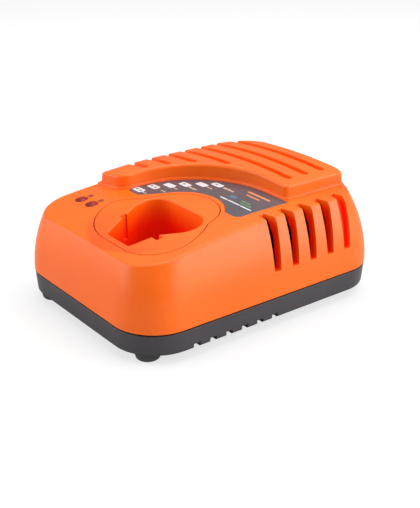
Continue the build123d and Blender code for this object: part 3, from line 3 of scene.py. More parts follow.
import bmesh
import bpy
from mathutils import Matrix, Vector


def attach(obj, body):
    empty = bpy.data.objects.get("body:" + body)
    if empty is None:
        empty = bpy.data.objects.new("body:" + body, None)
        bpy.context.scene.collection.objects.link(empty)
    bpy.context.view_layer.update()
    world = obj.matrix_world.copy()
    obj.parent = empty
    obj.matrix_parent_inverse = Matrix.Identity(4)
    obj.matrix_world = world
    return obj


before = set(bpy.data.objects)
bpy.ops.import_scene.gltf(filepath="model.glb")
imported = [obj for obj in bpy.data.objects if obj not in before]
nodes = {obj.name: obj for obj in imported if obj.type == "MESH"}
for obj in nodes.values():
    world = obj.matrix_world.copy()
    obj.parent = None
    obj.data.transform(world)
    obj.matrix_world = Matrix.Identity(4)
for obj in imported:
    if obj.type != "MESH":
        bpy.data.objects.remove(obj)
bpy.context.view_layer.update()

MM = 0.001


# ---------------------------------------------------------------- camera
CAMERA_PLACE = (0.3633715, -0.2787661, 0.2190299)
CAMERA_AZIMUTH = 0.9061223      # radians, from +Y towards -X
CAMERA_ELEVATION = 0.4093278    # radians, looking down
CAMERA_ROLL = 0.0049257
FOCAL_LENGTH = 905.784          # in pixels of the photograph
PHOTO_HEIGHT = 508              # pixels
SENSOR = 36


def make_camera():
    """The photograph's viewpoint: place, direction and field of view."""
    flat = math.cos(CAMERA_ELEVATION)
    ahead = Vector((
        -math.sin(CAMERA_AZIMUTH) * flat, math.cos(CAMERA_AZIMUTH) * flat, -math.sin(CAMERA_ELEVATION)
    ))
    level = Vector((math.cos(CAMERA_AZIMUTH), math.sin(CAMERA_AZIMUTH), 0))
    above = level.cross(ahead)
    right = math.cos(CAMERA_ROLL) * level + math.sin(CAMERA_ROLL) * above
    up = -math.sin(CAMERA_ROLL) * level + math.cos(CAMERA_ROLL) * above
    data = bpy.data.cameras.new("camera")
    data.sensor_width = SENSOR
    data.lens = SENSOR * FOCAL_LENGTH / PHOTO_HEIGHT
    camera = bpy.data.objects.new("camera", data)
    bpy.context.collection.objects.link(camera)
    turn = Matrix((right, up, -ahead)).transposed().to_4x4()
    camera.matrix_world = Matrix.Translation(CAMERA_PLACE) @ turn
    bpy.context.scene.camera = camera


make_camera()


# ---------------------------------------------------------------- material tools
def linear(red, green, blue):
    """A colour given in 0-255 screen values, taken through the sRGB curve."""
    def one(v):
        v = v / 255
        return v / 12.92 if v <= 0.04045 else ((v + 0.055) / 1.055) ** 2.4
    return (one(red), one(green), one(blue), 1.0)


class Builder:
    """Node material with a Principled shader and helpers that add to it."""

    def __init__(self, name, **constants):
        self.material = bpy.data.materials.new(name)
        self.material.use_nodes = True
        tree = self.material.node_tree
        tree.nodes.clear()
        self.nodes, self.links = tree.nodes, tree.links
        self.shader = self.add("ShaderNodeBsdfPrincipled")
        out = self.add("ShaderNodeOutputMaterial")
        self.links.new(self.shader.outputs[0], out.inputs["Surface"])
        self.place = self.add("ShaderNodeTexCoord").outputs["Object"]
        for key, value in constants.items():
            self.shader.inputs[key.replace("_", " ")].default_value = value

    def add(self, kind, **settings):
        node = self.nodes.new(kind)
        for key, value in settings.items():
            setattr(node, key, value)
        return node

    def set(self, socket, source):
        self.links.new(source, self.shader.inputs[socket])

    def noise(self, scale, detail=3.0, roughness=0.5, stretch=None):
        node = self.add("ShaderNodeTexNoise")
        node.inputs["Scale"].default_value = scale
        node.inputs["Detail"].default_value = detail
        node.inputs["Roughness"].default_value = roughness
        if stretch:
            mapping = self.add("ShaderNodeMapping")
            mapping.inputs["Scale"].default_value = stretch
            self.links.new(self.place, mapping.inputs["Vector"])
            self.links.new(mapping.outputs[0], node.inputs["Vector"])
        else:
            self.links.new(self.place, node.inputs["Vector"])
        return node.outputs["Fac"]

    def cells(self, scale, feature="F1"):
        node = self.add("ShaderNodeTexVoronoi", feature=feature)
        node.inputs["Scale"].default_value = scale
        self.links.new(self.place, node.inputs["Vector"])
        return node.outputs["Distance"]

    def waves(self, scale, distortion=0.0, **settings):
        node = self.add("ShaderNodeTexWave", **settings)
        node.inputs["Scale"].default_value = scale
        node.inputs["Distortion"].default_value = distortion
        self.links.new(self.place, node.inputs["Vector"])
        return node.outputs["Fac"]

    def ramp(self, source, low, high, start=0.35, stop=0.65):
        """source, stretched from start..stop, as a colour between low and high."""
        node = self.add("ShaderNodeValToRGB")
        for element, position, colour in zip(node.color_ramp.elements, (start, stop), (low, high)):
            element.position = position
            element.color = colour
        self.links.new(source, node.inputs["Fac"])
        return node.outputs["Color"]

    def span(self, source, low, high, start=0.3, stop=0.7):
        """source from start..stop, as a number between low and high."""
        node = self.add("ShaderNodeMapRange", clamp=True)
        for socket, value in (("From Min", start), ("From Max", stop), ("To Min", low), ("To Max", high)):
            node.inputs[socket].default_value = value
        self.links.new(source, node.inputs["Value"])
        return node.outputs[0]

    def rise(self, source, start, stop):
        """0 up to start and 1 from stop on."""
        return self.span(source, 0.0, 1.0, start, stop)

    def fall(self, source, start, stop):
        """1 up to start and 0 from stop on."""
        return self.span(source, 1.0, 0.0, start, stop)

    def mix(self, factor, first, second):
        """first at factor 0, second at 1; a colour is a tuple or a socket."""
        node = self.add("ShaderNodeMix", data_type="RGBA")
        for socket, value in ((node.inputs[0], factor), (node.inputs[6], first), (node.inputs[7], second)):
            if isinstance(value, tuple):
                socket.default_value = value
            else:
                self.links.new(value, socket)
        return node.outputs[2]

    def join(self, operation, parts):
        total = parts[0]
        for part in parts[1:]:
            node = self.add("ShaderNodeMath", operation=operation)
            self.links.new(total, node.inputs[0])
            self.links.new(part, node.inputs[1])
            total = node.outputs[0]
        return total

    def sum(self, *parts):
        return self.join("ADD", parts)

    def product(self, *parts):
        return self.join("MULTIPLY", parts)

    def weigh(self, *shares):
        """Sum of sources, each given with its weight."""
        return self.sum(*[self.span(source, 0, weight) for source, weight in shares])

    def distance(self, axes, middle):
        """Distance from the line through middle along the axis that is 0 in axes."""
        node = self.add("ShaderNodeVectorMath", operation="MULTIPLY_ADD")
        node.inputs[1].default_value = axes
        node.inputs[2].default_value = [-v for v in middle]
        self.links.new(self.place, node.inputs[0])
        length = self.add("ShaderNodeVectorMath", operation="LENGTH")
        self.links.new(node.outputs[0], length.inputs[0])
        return length.outputs["Value"]

    def rounded(self, radius):
        """Normal with the sharp edges rounded off, the radius in millimetres."""
        node = self.add("ShaderNodeBevel", samples=6)
        node.inputs["Radius"].default_value = radius * MM
        return node.outputs[0]

    def edge(self, soft):
        """1 on sharp edges and 0 on the faces between them."""
        normal = self.add("ShaderNodeNewGeometry").outputs["Normal"]
        cosine = self.add("ShaderNodeVectorMath", operation="DOT_PRODUCT")
        self.links.new(normal, cosine.inputs[0])
        self.links.new(soft, cosine.inputs[1])
        return self.fall(cosine.outputs["Value"], 0.86, 0.995)

    def bump(self, height, depth, strength=1.0, normal=None):
        """Relief of this height, its depth in millimetres."""
        node = self.add("ShaderNodeBump")
        node.inputs["Distance"].default_value = depth * MM
        node.inputs["Strength"].default_value = strength
        self.links.new(height, node.inputs["Height"])
        if normal is not None:
            self.links.new(normal, node.inputs["Normal"])
        self.set("Normal", node.outputs[0])


# ---------------------------------------------------------------- mouldings
FLOW_SCALE = 28                     # faint streaks where the plastic flowed
FLOW_STRETCH = (1.0, 0.45, 1.6)
MOTTLE_SCALE = 900
GLOSS_SCALE = 340                   # patches a little shinier than the rest
GRAIN_SCALE = 2600                  # spark-eroded grain

# slot: colour, shade, lighter colour of the sharp edges, roughness from and to, depth of the grain and
# radius of the edges in mm
PLASTICS = {
    "grey_shell": ((61, 58, 62), (54, 51, 56), (88, 85, 88), (0.36, 0.48), 0.025, 0.5),
    "white_plastic": ((226, 222, 210), (214, 208, 194), (238, 236, 228), (0.4, 0.55), 0.02, 0.5),
    "black_plastic": ((40, 40, 42), (30, 30, 32), (70, 70, 72), (0.45, 0.62), 0.03, 0.3),
    "yellow_plastic": ((232, 190, 60), (218, 172, 44), (240, 206, 96), (0.35, 0.5), 0.02, 0.5),
}


def moulding(m, colour, shade, edge_colour, roughness, grain, radius):
    """Grain, flow marks and a lighter colour on the sharp edges; gives the colour."""
    soft = m.rounded(radius)
    flow = m.noise(FLOW_SCALE, detail=2.0, stretch=FLOW_STRETCH)
    mottle = m.noise(MOTTLE_SCALE, detail=2.0)
    tone = m.weigh((flow, 0.7), (mottle, 0.3))
    gloss = m.weigh((flow, 0.5), (m.noise(GLOSS_SCALE), 0.5))
    m.set("Roughness", m.span(gloss, *roughness, start=0.2, stop=0.8))
    m.bump(m.noise(GRAIN_SCALE, roughness=0.6), grain, strength=0.5, normal=soft)
    base = m.ramp(tone, linear(*shade), linear(*colour), start=0.15, stop=0.85)
    # the sharp edges get the lighter edge colour
    return m.mix(m.span(m.edge(soft), 0.0, 0.5, start=0.0, stop=1.0), base, linear(*edge_colour))


def plastic(name, *finish):
    m = Builder(name)
    m.set("Base Color", moulding(m, *finish))
    return m.material


# where the orange moulding is painted redder, a painted shade for light bounced between orange walls, in
# metres: each pair is where that starts to fade and where it ends
WELL_MIDDLE = (0.0125, -0.042, 0)
WELL_REACH = (0.031, 0.033)             # from the well's upright middle line
WELL_HEIGHT = (0.042, 0.054)
BULGE_MIDDLE = (-0.0318, 0, 0.0167)     # axis of the right wall's bulge, along Y
SLOT_REACH = (0.0898, 0.0914)           # from that axis, so that the outer skin stays orange
SLOT_HEIGHT = (0.0525, 0.0555)
SLOT_REAR = (0.0565, 0.0575)
# the other way round: each pair is where it starts and where it is full
SLOT_SIDE = (0.0442, 0.0458)
SLOT_FRONT = (-0.0005, 0.0005)
CORNER_SHADE_REACH = 1.6                      # mm, how close faces lie for painted shade to darken a joint or corner


def orange_shell():
    """Orange moulding with painted shade: redder down the battery well and in the slots, where light bounces
    between orange walls, and darker in joints and corners.
    """
    m = Builder("orange_shell", Specular_IOR_Level=0.4)
    shell = moulding(m, (255, 108, 0), (251, 101, 0), (255, 118, 8), (0.32, 0.44), grain=0.012, radius=0.5)
    split = m.add("ShaderNodeSeparateXYZ")
    m.links.new(m.place, split.inputs[0])
    x, y, z = split.outputs
    # painted shade down the battery well: the colour is mixed redder here
    painted_well_shade = m.product(
        m.fall(m.distance((1, 1, 0), WELL_MIDDLE), *WELL_REACH),
        m.fall(z, *WELL_HEIGHT),
    )
    # painted shade in the slots: the colour is mixed redder here
    painted_slot_shade = m.product(
        m.fall(m.distance((1, 0, 1), BULGE_MIDDLE), *SLOT_REACH),
        m.rise(x, *SLOT_SIDE),
        m.rise(y, *SLOT_FRONT),
        m.fall(y, *SLOT_REAR),
        m.fall(z, *SLOT_HEIGHT),
    )
    # painted shade: the colour gets darker where faces lie close, in joints and corners
    corner_occlusion = m.add("ShaderNodeAmbientOcclusion", samples=8)
    corner_occlusion.inputs["Distance"].default_value = CORNER_SHADE_REACH * MM
    painted_corner_shade = m.span(corner_occlusion.outputs["AO"], 0.85, 0.0, start=0.25, stop=0.75)
    shell_with_corner_shade = m.mix(painted_corner_shade, shell, linear(214, 62, 0))
    # the painted shade of the well and the slots reddens the colour
    m.set("Base Color", m.mix(m.sum(painted_well_shade, painted_slot_shade), shell_with_corner_shade, linear(255, 44, 0)))
    return m.material


# ---------------------------------------------------------------- metals and insulation
LINE_DEPTH = 0.008                  # mm
METAL_EDGE = 0.15                   # mm

# slot: colour, dull colour, roughness from and to, stretch and scale of the lines, anisotropy
METALS = {
    "spring_strip": ((226, 190, 120), (206, 168, 100), (0.16, 0.34), (1.0, 0.08, 0.08), 900, 0.4),
    "plated_brass": ((220, 196, 132), (200, 172, 106), (0.18, 0.36), (1.0, 0.1, 1.0), 900, 0.0),
    "plated_steel": ((206, 206, 202), (182, 182, 180), (0.2, 0.38), (0.2, 1.0, 1.0), 900, 0.0),
    "screw_steel": ((196, 197, 200), (160, 160, 164), (0.24, 0.44), (1.0, 1.0, 0.2), 1300, 0.0),
    "sink_aluminium": ((52, 51, 54), (40, 40, 43), (0.42, 0.6), (1.0, 1.0, 0.05), 900, 0.4),
}

# slot: colour and shade
INSULATIONS = {
    "red_insulation": ((186, 30, 24), (160, 22, 18)),
    "yellow_insulation": ((232, 196, 40), (214, 174, 26)),
    "black_insulation": ((36, 36, 38), (26, 26, 28)),
}


def metal(name, colour, dull, roughness, stretch, scale, anisotropy):
    """Drawn or rolled metal: fine lines along its run and a mottled plating."""
    m = Builder(name, Metallic=1.0, Anisotropic=anisotropy)
    lines = m.noise(scale, detail=4.0, roughness=0.6, stretch=stretch)
    stain = m.noise(260)
    polish = m.sum(m.span(lines, 0, 0.6), m.span(stain, 0.4, 0))
    m.set("Base Color", m.ramp(stain, linear(*dull), linear(*colour), start=0.3, stop=0.7))
    m.set("Roughness", m.span(polish, *roughness, start=0.1, stop=0.9))
    m.bump(lines, LINE_DEPTH, strength=0.6, normal=m.rounded(METAL_EDGE))
    return m.material


def insulation(name, colour, shade):
    m = Builder(name, Coat_Weight=0.1, Coat_Roughness=0.3)
    ripple = m.noise(600, detail=2.0, stretch=(1.0, 0.3, 0.3))
    m.set("Base Color", m.ramp(ripple, linear(*shade), linear(*colour)))
    m.set("Roughness", m.span(ripple, 0.35, 0.5))
    m.bump(ripple, depth=0.03, strength=0.5)
    return m.material


# ---------------------------------------------------------------- other materials
def foot_rubber():
    m = Builder("foot_rubber", Sheen_Weight=0.15, Sheen_Roughness=0.5)
    bloom = m.noise(420, detail=4.0, roughness=0.6)
    pores = m.weigh((m.noise(2200), 0.6), (m.cells(900), 0.4))
    m.set("Base Color", m.ramp(bloom, linear(46, 45, 47), linear(66, 64, 66)))
    m.set("Roughness", m.span(bloom, 0.62, 0.82))
    m.bump(pores, depth=0.05, strength=0.7, normal=m.rounded(0.4))
    return m.material


def label():
    m = Builder("label", Coat_Weight=0.25, Coat_Roughness=0.25)
    haze = m.noise(60)
    m.set("Base Color", m.ramp(haze, linear(76, 68, 74), linear(88, 80, 85), start=0.3, stop=0.7))
    m.set("Roughness", m.span(m.noise(700), 0.42, 0.56))
    m.bump(m.noise(3200, detail=2.0), depth=0.006, strength=0.5, normal=m.rounded(0.12))
    return m.material


def plate():
    m = Builder("plate", Metallic=0.55)
    brushed = m.noise(1200, detail=4.0, roughness=0.6, stretch=(0.06, 1.0, 1.0))
    m.set("Base Color", m.ramp(brushed, linear(168, 168, 170), linear(196, 196, 197), start=0.3, stop=0.7))
    m.set("Roughness", m.span(brushed, 0.3, 0.44))
    m.bump(brushed, depth=0.005, strength=0.5, normal=m.rounded(0.1))
    return m.material


def red_lens():
    m = Builder("red_lens", Coat_Weight=0.1, Coat_Roughness=0.2, Specular_IOR_Level=0.25)
    facets = m.cells(700)
    m.set("Base Color", m.ramp(facets, linear(158, 38, 30), linear(128, 22, 18), start=0.1, stop=0.6))
    m.set("Roughness", m.span(m.noise(500, detail=2.0), 0.3, 0.42))
    m.bump(facets, depth=0.03, strength=0.3, normal=m.rounded(0.3))
    return m.material


def clear_glass():
    m = Builder("clear_glass", IOR=1.5, Transmission_Weight=0.9)
    streak = m.noise(300, detail=2.0, stretch=(0.2, 1.0, 1.0))
    m.set("Base Color", m.ramp(streak, linear(226, 236, 232), linear(246, 250, 248)))
    m.set("Roughness", m.span(streak, 0.02, 0.08))
    m.bump(streak, depth=0.004, strength=0.3)
    return m.material


def circuit_board():
    """Green solder mask over a glass weave, with tracks under it."""
    m = Builder("circuit_board", Coat_Weight=0.3, Coat_Roughness=0.3)
    warp = m.noise(1400, detail=1.0, roughness=0.4, stretch=(0.15, 1.0, 1.0))
    weft = m.noise(1400, detail=1.0, roughness=0.4, stretch=(1.0, 0.15, 1.0))
    weave = m.weigh((warp, 0.5), (weft, 0.5))
    tracks = m.cells(95, feature="DISTANCE_TO_EDGE")
    green = m.ramp(weave, linear(24, 74, 44), linear(34, 92, 56))
    m.set("Base Color", m.mix(m.rise(tracks, 0.05, 0.09), green, linear(46, 116, 70)))
    m.set("Roughness", m.span(weave, 0.38, 0.52))
    m.bump(m.sum(weave, m.span(tracks, 0, 2.0, start=0.04, stop=0.1)), depth=0.02, strength=0.5)
    return m.material


def ferrite():
    m = Builder("ferrite")
    grit = m.noise(1800, detail=4.0, roughness=0.7)
    m.set("Base Color", m.ramp(grit, linear(44, 44, 47), linear(72, 72, 75)))
    m.set("Roughness", m.span(grit, 0.55, 0.78))
    m.bump(m.weigh((grit, 0.6), (m.cells(700), 0.4)), depth=0.05, strength=0.6, normal=m.rounded(0.3))
    return m.material


def winding_copper():
    m = Builder("winding_copper", Metallic=0.85, Coat_Weight=0.5, Coat_Roughness=0.15)
    turns = m.waves(260, distortion=1.2, wave_type="RINGS", rings_direction="Z")
    m.set("Base Color", m.ramp(turns, linear(120, 52, 18), linear(196, 102, 44), start=0.1, stop=0.8))
    m.set("Roughness", m.span(turns, 0.4, 0.25))
    m.bump(turns, depth=0.15, strength=0.8)
    return m.material


def winding_tape():
    m = Builder("winding_tape", Coat_Weight=0.3, Coat_Roughness=0.2)
    wraps = m.waves(110, distortion=0.6, wave_type="BANDS", bands_direction="Z")
    creases = m.noise(200, detail=2.0)
    m.set("Base Color", m.ramp(wraps, linear(206, 164, 34), linear(232, 196, 62), start=0.05, stop=0.5))
    m.set("Roughness", m.span(m.noise(500), 0.3, 0.45))
    m.bump(m.sum(wraps, creases), depth=0.05, strength=0.6, normal=m.rounded(0.3))
    return m.material


def can_sleeve():
    m = Builder("can_sleeve", Coat_Weight=0.3, Coat_Roughness=0.15)
    shrink = m.noise(420, detail=2.0, stretch=(1.0, 1.0, 0.25))
    m.set("Base Color", m.ramp(shrink, linear(20, 26, 48), linear(30, 38, 66)))
    m.set("Roughness", m.span(shrink, 0.25, 0.38))
    m.bump(shrink, depth=0.04, strength=0.5)
    return m.material


def resistor_body():
    m = Builder("resistor_body")
    rings = m.rise(m.waves(120, wave_type="BANDS", bands_direction="X"), 0.8, 0.9)
    body = m.ramp(m.noise(900, detail=2.0), linear(196, 168, 120), linear(210, 184, 138))
    m.set("Base Color", m.mix(rings, body, linear(120, 60, 28)))
    m.set("Roughness", m.span(m.noise(700), 0.35, 0.5))
    m.bump(m.noise(1500, detail=2.0), depth=0.02, strength=0.5, normal=m.rounded(0.3))
    return m.material


# ---------------------------------------------------------------- finishes of the CAD nodes
TABLES = ((PLASTICS, plastic), (METALS, metal), (INSULATIONS, insulation))
MAKERS = {
    maker.__name__: maker for maker in (
        orange_shell, foot_rubber, label, plate, red_lens, clear_glass, circuit_board, ferrite,
        winding_copper, winding_tape, can_sleeve, resistor_body,
    )
}

FINISH = {
    "orange_shell": ["top_cover", "battery_well"],
    "grey_shell": ["base_tray"],
    "label": ["label_plate"],
    "plate": ["rating_plate"],
    "foot_rubber": ["foot_front_left", "foot_front_right", "foot_rear_left", "foot_rear_right"],
    "screw_steel": ["case_screws", "well_screws", "board_screws", "terminal_screws"],
    "red_lens": ["light_pipe_left", "light_pipe_right"],
    "white_plastic": ["status_lights", "transformer_bobbin", "opto_coupler", "output_connector"],
    "circuit_board": ["main_board"],
    "black_plastic": [
        "mains_inlet", "bridge_rectifier", "switching_transistor", "output_rectifier", "control_chip",
        "terminal_block",
    ],
    "plated_brass": ["inlet_pins", "contact_tags"],
    "clear_glass": ["fuse_tube"],
    "plated_steel": ["fuse_caps", "fuse_clips", "chip_legs"],
    "yellow_plastic": ["interference_capacitor"],
    "ferrite": ["choke_core", "transformer_core"],
    "winding_copper": ["choke_winding"],
    "winding_tape": ["transformer_winding"],
    "can_sleeve": ["bulk_capacitor", "output_capacitors"],
    "sink_aluminium": ["primary_heat_sink", "output_heat_sink"],
    "resistor_body": ["resistors"],
    "spring_strip": ["contact_positive", "contact_sensor", "contact_negative"],
    "red_insulation": ["lead_positive"],
    "yellow_insulation": ["lead_sensor"],
    "black_insulation": ["lead_negative"],
}


def make_material(slot_name):
    for table, maker in TABLES:
        if slot_name in table:
            return maker(slot_name, *table[slot_name])
    return MAKERS[slot_name]()


def dress_nodes():
    for slot_name, names in FINISH.items():
        material = make_material(slot_name)
        for name in names:
            for place in nodes[name].material_slots:
                place.material = material
    missing = sorted(set(nodes) - {name for names in FINISH.values() for name in names})
    if missing:
        raise ValueError("nodes without a finish: " + ", ".join(missing))


dress_nodes()


# ---------------------------------------------------------------- print on the shelf, in millimetres
SHELF_TOP = 57.6            # height where the shelf is highest, on the middle line
SHELF_BREAK = 15.0          # y ahead of which it falls towards the user
FALL_RADIUS = 450
CROWN_RADIUS = 1170         # across the case
LABEL_DROP = 0.12           # top of the label plate, below the shelf
INK_THICKNESS = 0.06
CORNER_STEPS = 5
WELD_DISTANCE = 1e-5


def sag(radius, offset):
    """How far an arc lies below its top at this offset from it."""
    return radius - math.sqrt(radius**2 - offset**2)


def shelf_height(x, y):
    ahead = max(0.0, SHELF_BREAK - y)
    return SHELF_TOP - sag(FALL_RADIUS, ahead) - sag(CROWN_RADIUS, x)


def rounded_box(x, y, width, depth, corner):
    """Outline of a rectangle with round corners, its middle at (x, y)."""
    points = []
    for side_x, side_y, first in ((1, 1, 0), (-1, 1, 90), (-1, -1, 180), (1, -1, 270)):
        for n in range(CORNER_STEPS + 1):
            angle = math.radians(first + 90 * n / CORNER_STEPS)
            u = side_x * (width / 2 - corner) + corner * math.cos(angle)
            v = side_y * (depth / 2 - corner) + corner * math.sin(angle)
            points.append((x + u, y + v))
    return points


def filled(name, outlines):
    """Flat mesh of these outlines; an outline inside another is a hole."""
    curve = bpy.data.curves.new(name, "CURVE")
    curve.dimensions = "2D"
    curve.fill_mode = "BOTH"
    for outline in outlines:
        spline = curve.splines.new("POLY")
        spline.points.add(len(outline) - 1)
        for point, (x, y) in zip(spline.points, outline):
            point.co = (x, y, 0, 1)
        spline.use_cyclic_u = True
    flat = bpy.data.objects.new(name + "_flat", curve)
    bpy.context.collection.objects.link(flat)
    bpy.context.view_layer.update()
    mesh = bpy.data.meshes.new_from_object(flat.evaluated_get(bpy.context.evaluated_depsgraph_get()))
    bpy.data.objects.remove(flat)
    return mesh


def printed(name, outlines, material, drop):
    """Thin layer of ink in these outlines, lying on the shelf lowered by drop."""
    mesh = filled(name, outlines)
    shape = bmesh.new()
    shape.from_mesh(mesh)
    bmesh.ops.remove_doubles(shape, verts=shape.verts, dist=WELD_DISTANCE)
    grown = bmesh.ops.extrude_face_region(shape, geom=shape.faces[:])
    for v in grown["geom"]:
        if isinstance(v, bmesh.types.BMVert):
            v.co.z = INK_THICKNESS
    for v in shape.verts:
        v.co.z += shelf_height(v.co.x, v.co.y) - drop
        v.co *= MM
    bmesh.ops.recalc_face_normals(shape, faces=shape.faces)
    shape.to_mesh(mesh)
    shape.free()
    mesh.name = name
    mesh.materials.clear()
    mesh.materials.append(material)
    piece = bpy.data.objects.new(name, mesh)
    bpy.context.collection.objects.link(piece)
    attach(piece, "housing")


# battery signs: places, then width, depth and corner of each part of a sign
PACKS = [(-25.7, -23.0), (-23.2, -15.0), (-18.5, -7.7), (-13.7, -0.7), (-7.5, 6.1), (-1.6, 12.2)]
PACK_SIZE = (7.4, 4.2, 0.6)
TERMINAL_OFFSET = 4.0
TERMINAL_SIZE = (0.4, 1.7, 0.15)
DOT_OFFSET = 1.6
DOT_SIZE = (1.7, 1.7, 0.84)
DOTTED_PACKS = (0, 1)
BAR_OFFSET = (-1.0, 0.2)
BAR_SIZE = (2.0, 1.3, 0.6)
BARRED_PACKS = (3, 5)


def pack_signs():
    """Plain battery signs along the label."""
    outlines = []
    for n, (x, y) in enumerate(PACKS):
        outlines.append(rounded_box(x, y, *PACK_SIZE))
        outlines.append(rounded_box(x + TERMINAL_OFFSET, y, *TERMINAL_SIZE))
        if n in DOTTED_PACKS:
            outlines.append(rounded_box(x - DOT_OFFSET, y, *DOT_SIZE))
            outlines.append(rounded_box(x + DOT_OFFSET, y, *DOT_SIZE))
        if n in BARRED_PACKS:
            outlines.append(rounded_box(x + BAR_OFFSET[0], y + BAR_OFFSET[1], *BAR_SIZE))
    return outlines


# rows of plain dashes: x and y of the left end, lengths, height
DASH_GAP = 0.5
WIDE_GAP = 0.6
DASH_CORNER = 0.3           # as a share of the height
SMALL_MARKS = [
    (-21.2, -23.6, (1.4, 1.4), 0.9),
    (-15.6, -15.4, (1.6, 2.0), 0.9),
    (-13.8, -8.4, (1.4, 1.4), 0.9),
    (-8.6, -1.6, (2.0, 2.2, 0.8), 1.4),
    (-2.2, 5.8, (1.6, 1.6), 1.0),
    (4.2, 12.0, (2.6, 3.0, 1.4), 1.7),
]
WHITE_ROW = [(13.4, 2.3, (5.6, 9.4, 8.4), 1.0)]
GREEN_ROWS = [(24.6, 7.2, (4.0, 3.0), 1.1), (26.6, 4.9, (3.4, 4.6), 1.1)]


def dashes(rows, gap=DASH_GAP):
    outlines = []
    for x, y, lengths, height in rows:
        for length in lengths:
            outlines.append(rounded_box(x + length / 2, y, length, height, height * DASH_CORNER))
            x += length + gap
    return outlines


# x, y, width, depth and corner
BLUE_BLOCK = (18.0, 7.2, 4.6, 3.4, 0.5)
ORANGE_BARS = [(25.4, 18.6, 17.4, 1.6, 0.8), (24.9, 14.8, 10.4, 1.2, 0.6)]
INDICATOR_SQUARE = (-39.3, -45.2, 3.4, 2.8, 0.6)
INDICATOR_SPOT = (-28.9, -45.2, 3.2, 3.2, 1.59)

# colour and faded colour
INKS = {
    "white_ink": ((226, 222, 224), (186, 180, 184)),
    "amber_ink": ((222, 190, 160), (170, 140, 120)),
    "green_ink": ((96, 150, 104), (78, 118, 90)),
    "blue_ink": ((88, 116, 142), (78, 98, 120)),
    "orange_ink": ((240, 150, 96), (206, 122, 84)),
    "brown_ink": ((150, 62, 30), (128, 48, 22)),
}


def ink(name, colour, faded):
    m = Builder(name)
    cover = m.noise(1500, roughness=0.6)
    m.set("Base Color", m.ramp(cover, linear(*faded), linear(*colour), start=0.3, stop=0.55))
    m.set("Roughness", m.span(cover, 0.55, 0.42))
    m.bump(cover, depth=0.004, strength=0.5)
    return m.material


def print_signs():
    """The label's signs and the two beside the lights, which are printed on the cover itself."""
    inks = {name: ink(name, *colours) for name, colours in INKS.items()}
    signs = (
        ("indicator_icon_left", [rounded_box(*INDICATOR_SQUARE)], "brown_ink", "orange_shell", 0.0),
        ("indicator_icon_right", [rounded_box(*INDICATOR_SPOT)], "brown_ink", "orange_shell", 0.0),
        ("label_pack_signs", pack_signs(), "white_ink", "label", LABEL_DROP),
        ("label_small_marks", dashes(SMALL_MARKS), "amber_ink", "label", LABEL_DROP),
        ("label_white_row", dashes(WHITE_ROW, WIDE_GAP), "white_ink", "label", LABEL_DROP),
        ("label_blue_block", [rounded_box(*BLUE_BLOCK)], "blue_ink", "label", LABEL_DROP),
        ("label_green_rows", dashes(GREEN_ROWS), "green_ink", "label", LABEL_DROP),
        ("label_orange_bars", [rounded_box(*bar) for bar in ORANGE_BARS], "orange_ink", "label", LABEL_DROP),
    )
    for name, outlines, ink_name, slot_name, drop in signs:
        printed(name, outlines, inks[ink_name], drop)


print_signs()


# ---------------------------------------------------------------- stage
FLOOR_REACH = 6.0           # metres each way
FLOOR_SQUARES = 8
FLOOR_SEEN = 0.3            # how much of the light the seen floor returns, for the shadow on it
FLOOR_GLOW = 0.68           # its pale ground
FLOOR_UNSEEN = 0.55         # what it returns to the object
WORLD_SEEN = 1.0
WORLD_UNSEEN = 0.35         # light from all around

# name, place, target, width, height and radiance
LAMPS = (
    ("light_right", (1.1, 0.75, 0.5), (0, 0, 0.03), 1.3, 1.0, 4.4),
    ("light_front", (-0.75, -1.1, 0.5), (0, 0, 0.03), 1.2, 1.0, 3.2),
    ("light_above", (-0.1, 0.3, 1.3), (0, 0, 0.05), 1.4, 1.4, 2.5),
)


def grey(level):
    return (level, level, level, 1)


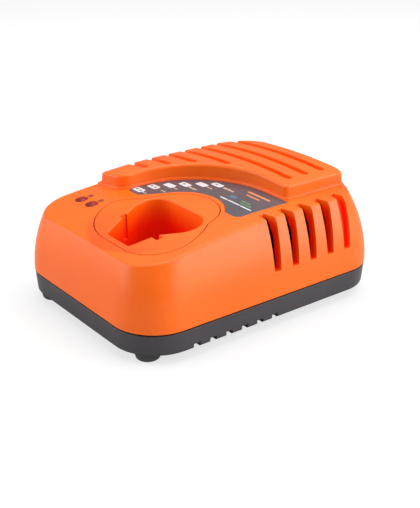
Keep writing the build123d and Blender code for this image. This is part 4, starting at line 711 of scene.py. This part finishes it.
def floor_paper():
    """Pale paper: the camera sees a glowing ground with a shadow, the object gets plain bounced light."""
    material = bpy.data.materials.new("floor_paper")
    material.use_nodes = True
    tree = material.node_tree
    tree.nodes.clear()
    seen = tree.nodes.new("ShaderNodeBsdfDiffuse")
    seen.inputs["Color"].default_value = grey(FLOOR_SEEN)
    glow = tree.nodes.new("ShaderNodeEmission")
    glow.inputs["Strength"].default_value = FLOOR_GLOW
    both = tree.nodes.new("ShaderNodeAddShader")
    unseen = tree.nodes.new("ShaderNodeBsdfDiffuse")
    unseen.inputs["Color"].default_value = grey(FLOOR_UNSEEN)
    path = tree.nodes.new("ShaderNodeLightPath")
    pick = tree.nodes.new("ShaderNodeMixShader")
    out = tree.nodes.new("ShaderNodeOutputMaterial")
    tree.links.new(seen.outputs[0], both.inputs[0])
    tree.links.new(glow.outputs[0], both.inputs[1])
    tree.links.new(path.outputs["Is Camera Ray"], pick.inputs[0])
    tree.links.new(unseen.outputs[0], pick.inputs[1])
    tree.links.new(both.outputs[0], pick.inputs[2])
    tree.links.new(pick.outputs[0], out.inputs["Surface"])
    return material


def make_floor():
    mesh = bpy.data.meshes.new("floor")
    form = bmesh.new()
    bmesh.ops.create_grid(form, x_segments=FLOOR_SQUARES, y_segments=FLOOR_SQUARES, size=FLOOR_REACH)
    form.to_mesh(mesh)
    form.free()
    floor = bpy.data.objects.new("floor", mesh)
    bpy.context.collection.objects.link(floor)
    mesh.materials.append(floor_paper())


def make_world():
    """Even light from all around, seen by the camera as white."""
    world = bpy.data.worlds.new("studio")
    bpy.context.scene.world = world
    world.use_nodes = True
    tree = world.node_tree
    tree.nodes.clear()
    path = tree.nodes.new("ShaderNodeLightPath")
    level = tree.nodes.new("ShaderNodeMapRange")
    level.inputs["To Min"].default_value = WORLD_UNSEEN
    level.inputs["To Max"].default_value = WORLD_SEEN
    back = tree.nodes.new("ShaderNodeBackground")
    back.inputs["Color"].default_value = grey(1)
    out = tree.nodes.new("ShaderNodeOutputWorld")
    tree.links.new(path.outputs["Is Camera Ray"], level.inputs["Value"])
    tree.links.new(level.outputs[0], back.inputs["Strength"])
    tree.links.new(back.outputs[0], out.inputs["Surface"])


def softbox(name, place, target, width, height, radiance):
    """Rectangular soft light of an even brightness."""
    data = bpy.data.lights.new(name, "AREA")
    data.shape = "RECTANGLE"
    data.size, data.size_y = width, height
    data.energy = radiance * width * height * math.pi
    lamp = bpy.data.objects.new(name, data)
    bpy.context.collection.objects.link(lamp)
    lamp.location = place
    lamp.rotation_mode = "QUATERNION"
    lamp.rotation_quaternion = (Vector(target) - Vector(place)).to_track_quat("-Z", "Y")


make_floor()
make_world()
for lamp in LAMPS:
    softbox(*lamp)

bpy.context.scene.view_settings.view_transform = "Standard"
